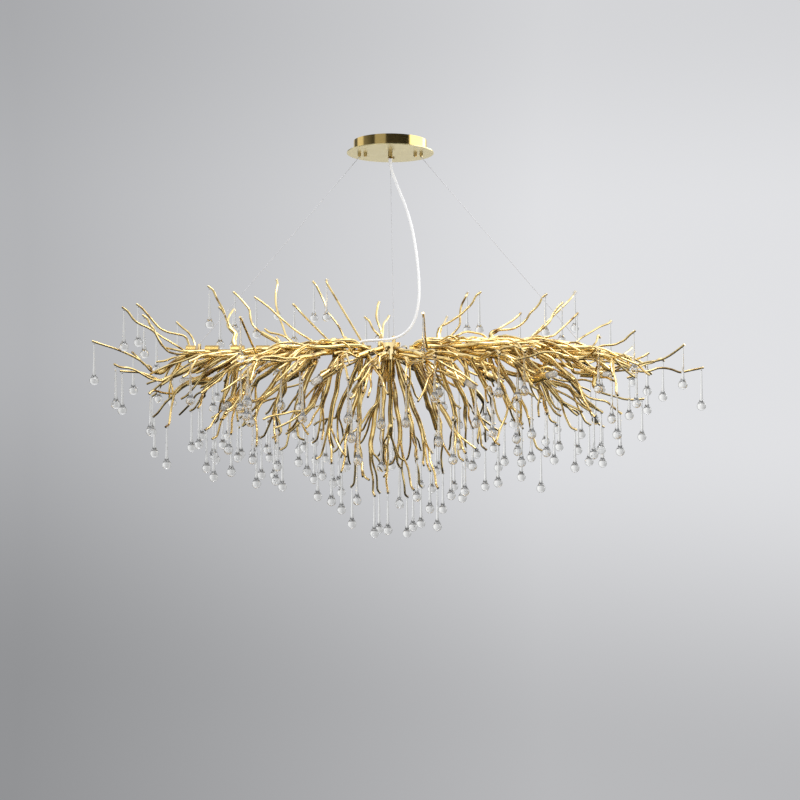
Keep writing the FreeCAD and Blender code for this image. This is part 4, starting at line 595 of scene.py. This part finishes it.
def panels(tree, azimuth, levels):
    ramp = tree.nodes.new("ShaderNodeValToRGB")
    stops = ramp.color_ramp.elements
    for index, (degrees, level) in enumerate(sorted(levels.items())):
        place = (degrees + 180) / 360
        stop = stops[index] if index < 2 else stops.new(place)  # a ramp starts with two stops
        stop.position = place
        stop.color = (level, level, level * studioSettings["blue"], 1)
    tree.links.new(azimuth, ramp.inputs[0])
    return ramp.outputs["Color"]


def grey(level):
    return (level, level, level)


world = bpy.data.worlds.new("studio")
bpy.context.scene.world = world
world.use_nodes = True
tree = world.node_tree
tree.nodes.clear()
aim = tree.nodes.new("ShaderNodeTexCoord")
split = tree.nodes.new("ShaderNodeSeparateXYZ")
tree.links.new(aim.outputs["Generated"], split.inputs[0])
across, deep, height = split.outputs
turn = mathNode(tree, "ARCTAN2", across, mathNode(tree, "MULTIPLY", deep, -1))
azimuth = mapRange(tree, turn, -math.pi, math.pi)

# what the metal mirrors and the glass lets through: panels, a pale ceiling and a dark ground
overhead = mapRange(tree, height, *studioSettings["overhead"])
behind = mapRange(tree, deep, *studioSettings["behind"])
seenBy = {}
for kind in ("metal", "glass"):
    ground = studioSettings[kind + "Ground"]
    walls = panels(tree, azimuth, studioSettings[kind])
    if kind == "metal":
        lower = panels(tree, azimuth, studioSettings["metalLow"])
        raised = mapRange(tree, height, *studioSettings["metalRises"])
        walls = mixColours(tree, lower, walls, raised)
    roofed = mixColours(tree, walls, grey(studioSettings[kind + "Ceiling"]), overhead)
    lowered = mathNode(tree, "ADD", height, mathNode(tree, "MULTIPLY", behind, ground["drop"]))
    underfoot = mapRange(tree, lowered, *ground["span"])
    floorward = mixColours(tree, grey(ground["front"]), grey(ground["back"]), behind)
    seenBy[kind] = mixColours(tree, roofed, floorward, underfoot)

# what the camera sees: a backdrop from grey to pale, darker at its foot and a little at its head, painted
# shade where the studio light falls off across it
sideways = mapRange(tree, across, *studioSettings["backAcross"])
backdrop = mixColours(tree, studioSettings["backLeft"], studioSettings["backRight"], sideways)
leaning = mathNode(tree, "ADD", height, mathNode(tree, "MULTIPLY", across, studioSettings["backTilt"]))
fades = []
for aimed, name in ((leaning, "backFoot"), (height, "backHead")):
    fade = studioSettings[name]
    fades.append(mapRange(tree, aimed, *fade["span"], 1, fade["level"], "SMOOTHSTEP"))
# painted shade at the backdrop's foot and head
faded = mixColours(tree, backdrop, mathNode(tree, "MULTIPLY", *fades), 1, "MULTIPLY")
ahead = mapRange(tree, deep, *studioSettings["backAhead"])
seenBy["camera"] = mixColours(tree, studioSettings["backRound"], faded, ahead)

rays = tree.nodes.new("ShaderNodeLightPath")
seen = mixColours(tree, grey(studioSettings["light"]), seenBy["metal"], rays.outputs["Is Glossy Ray"])
seen = mixColours(tree, seen, seenBy["glass"], rays.outputs["Is Transmission Ray"])
seen = mixColours(tree, seen, seenBy["camera"], rays.outputs["Is Camera Ray"])
sky = tree.nodes.new("ShaderNodeBackground")
output = tree.nodes.new("ShaderNodeOutputWorld")
tree.links.new(seen, sky.inputs["Color"])
tree.links.new(sky.outputs[0], output.inputs[0])

# lamps: a soft box overhead, and three at the sides and in front, which only light the object
lampSettings = [
    {"name": "softBoxLeft", "place": (-2.3, 0.5, 0.0), "size": (0.35, 1.8), "power": 14, "mirrored": False},
    {"name": "softBoxRight", "place": (2.4, -0.35, 0.1), "size": (0.4, 1.8), "power": 18, "mirrored": False},
    {"name": "softBoxTop", "place": (0.2, -0.4, 1.6), "size": (2.2, 0.5), "power": 22, "mirrored": True},
    {"name": "fillBox", "place": (0.4, -2.7, 0.6), "size": (1.4, 1.0), "power": 12, "mirrored": False},
]
lampAim = Vector((0, 0, -0.5))
for lamp in lampSettings:
    turned = (lampAim - Vector(lamp["place"])).to_track_quat("-Z", "Y").to_euler()
    bpy.ops.object.light_add(type="AREA", location=lamp["place"], rotation=turned)
    softBox = bpy.context.object
    softBox.name = lamp["name"]
    softBox.data.shape = "RECTANGLE"
    softBox.data.size, softBox.data.size_y = lamp["size"]
    softBox.data.energy = lamp["power"]
    softBox.visible_camera = False
    softBox.visible_glossy = lamp["mirrored"]
    softBox.visible_transmission = lamp["mirrored"]
print("studio lit")

bpy.context.scene.view_settings.view_transform = "Standard"
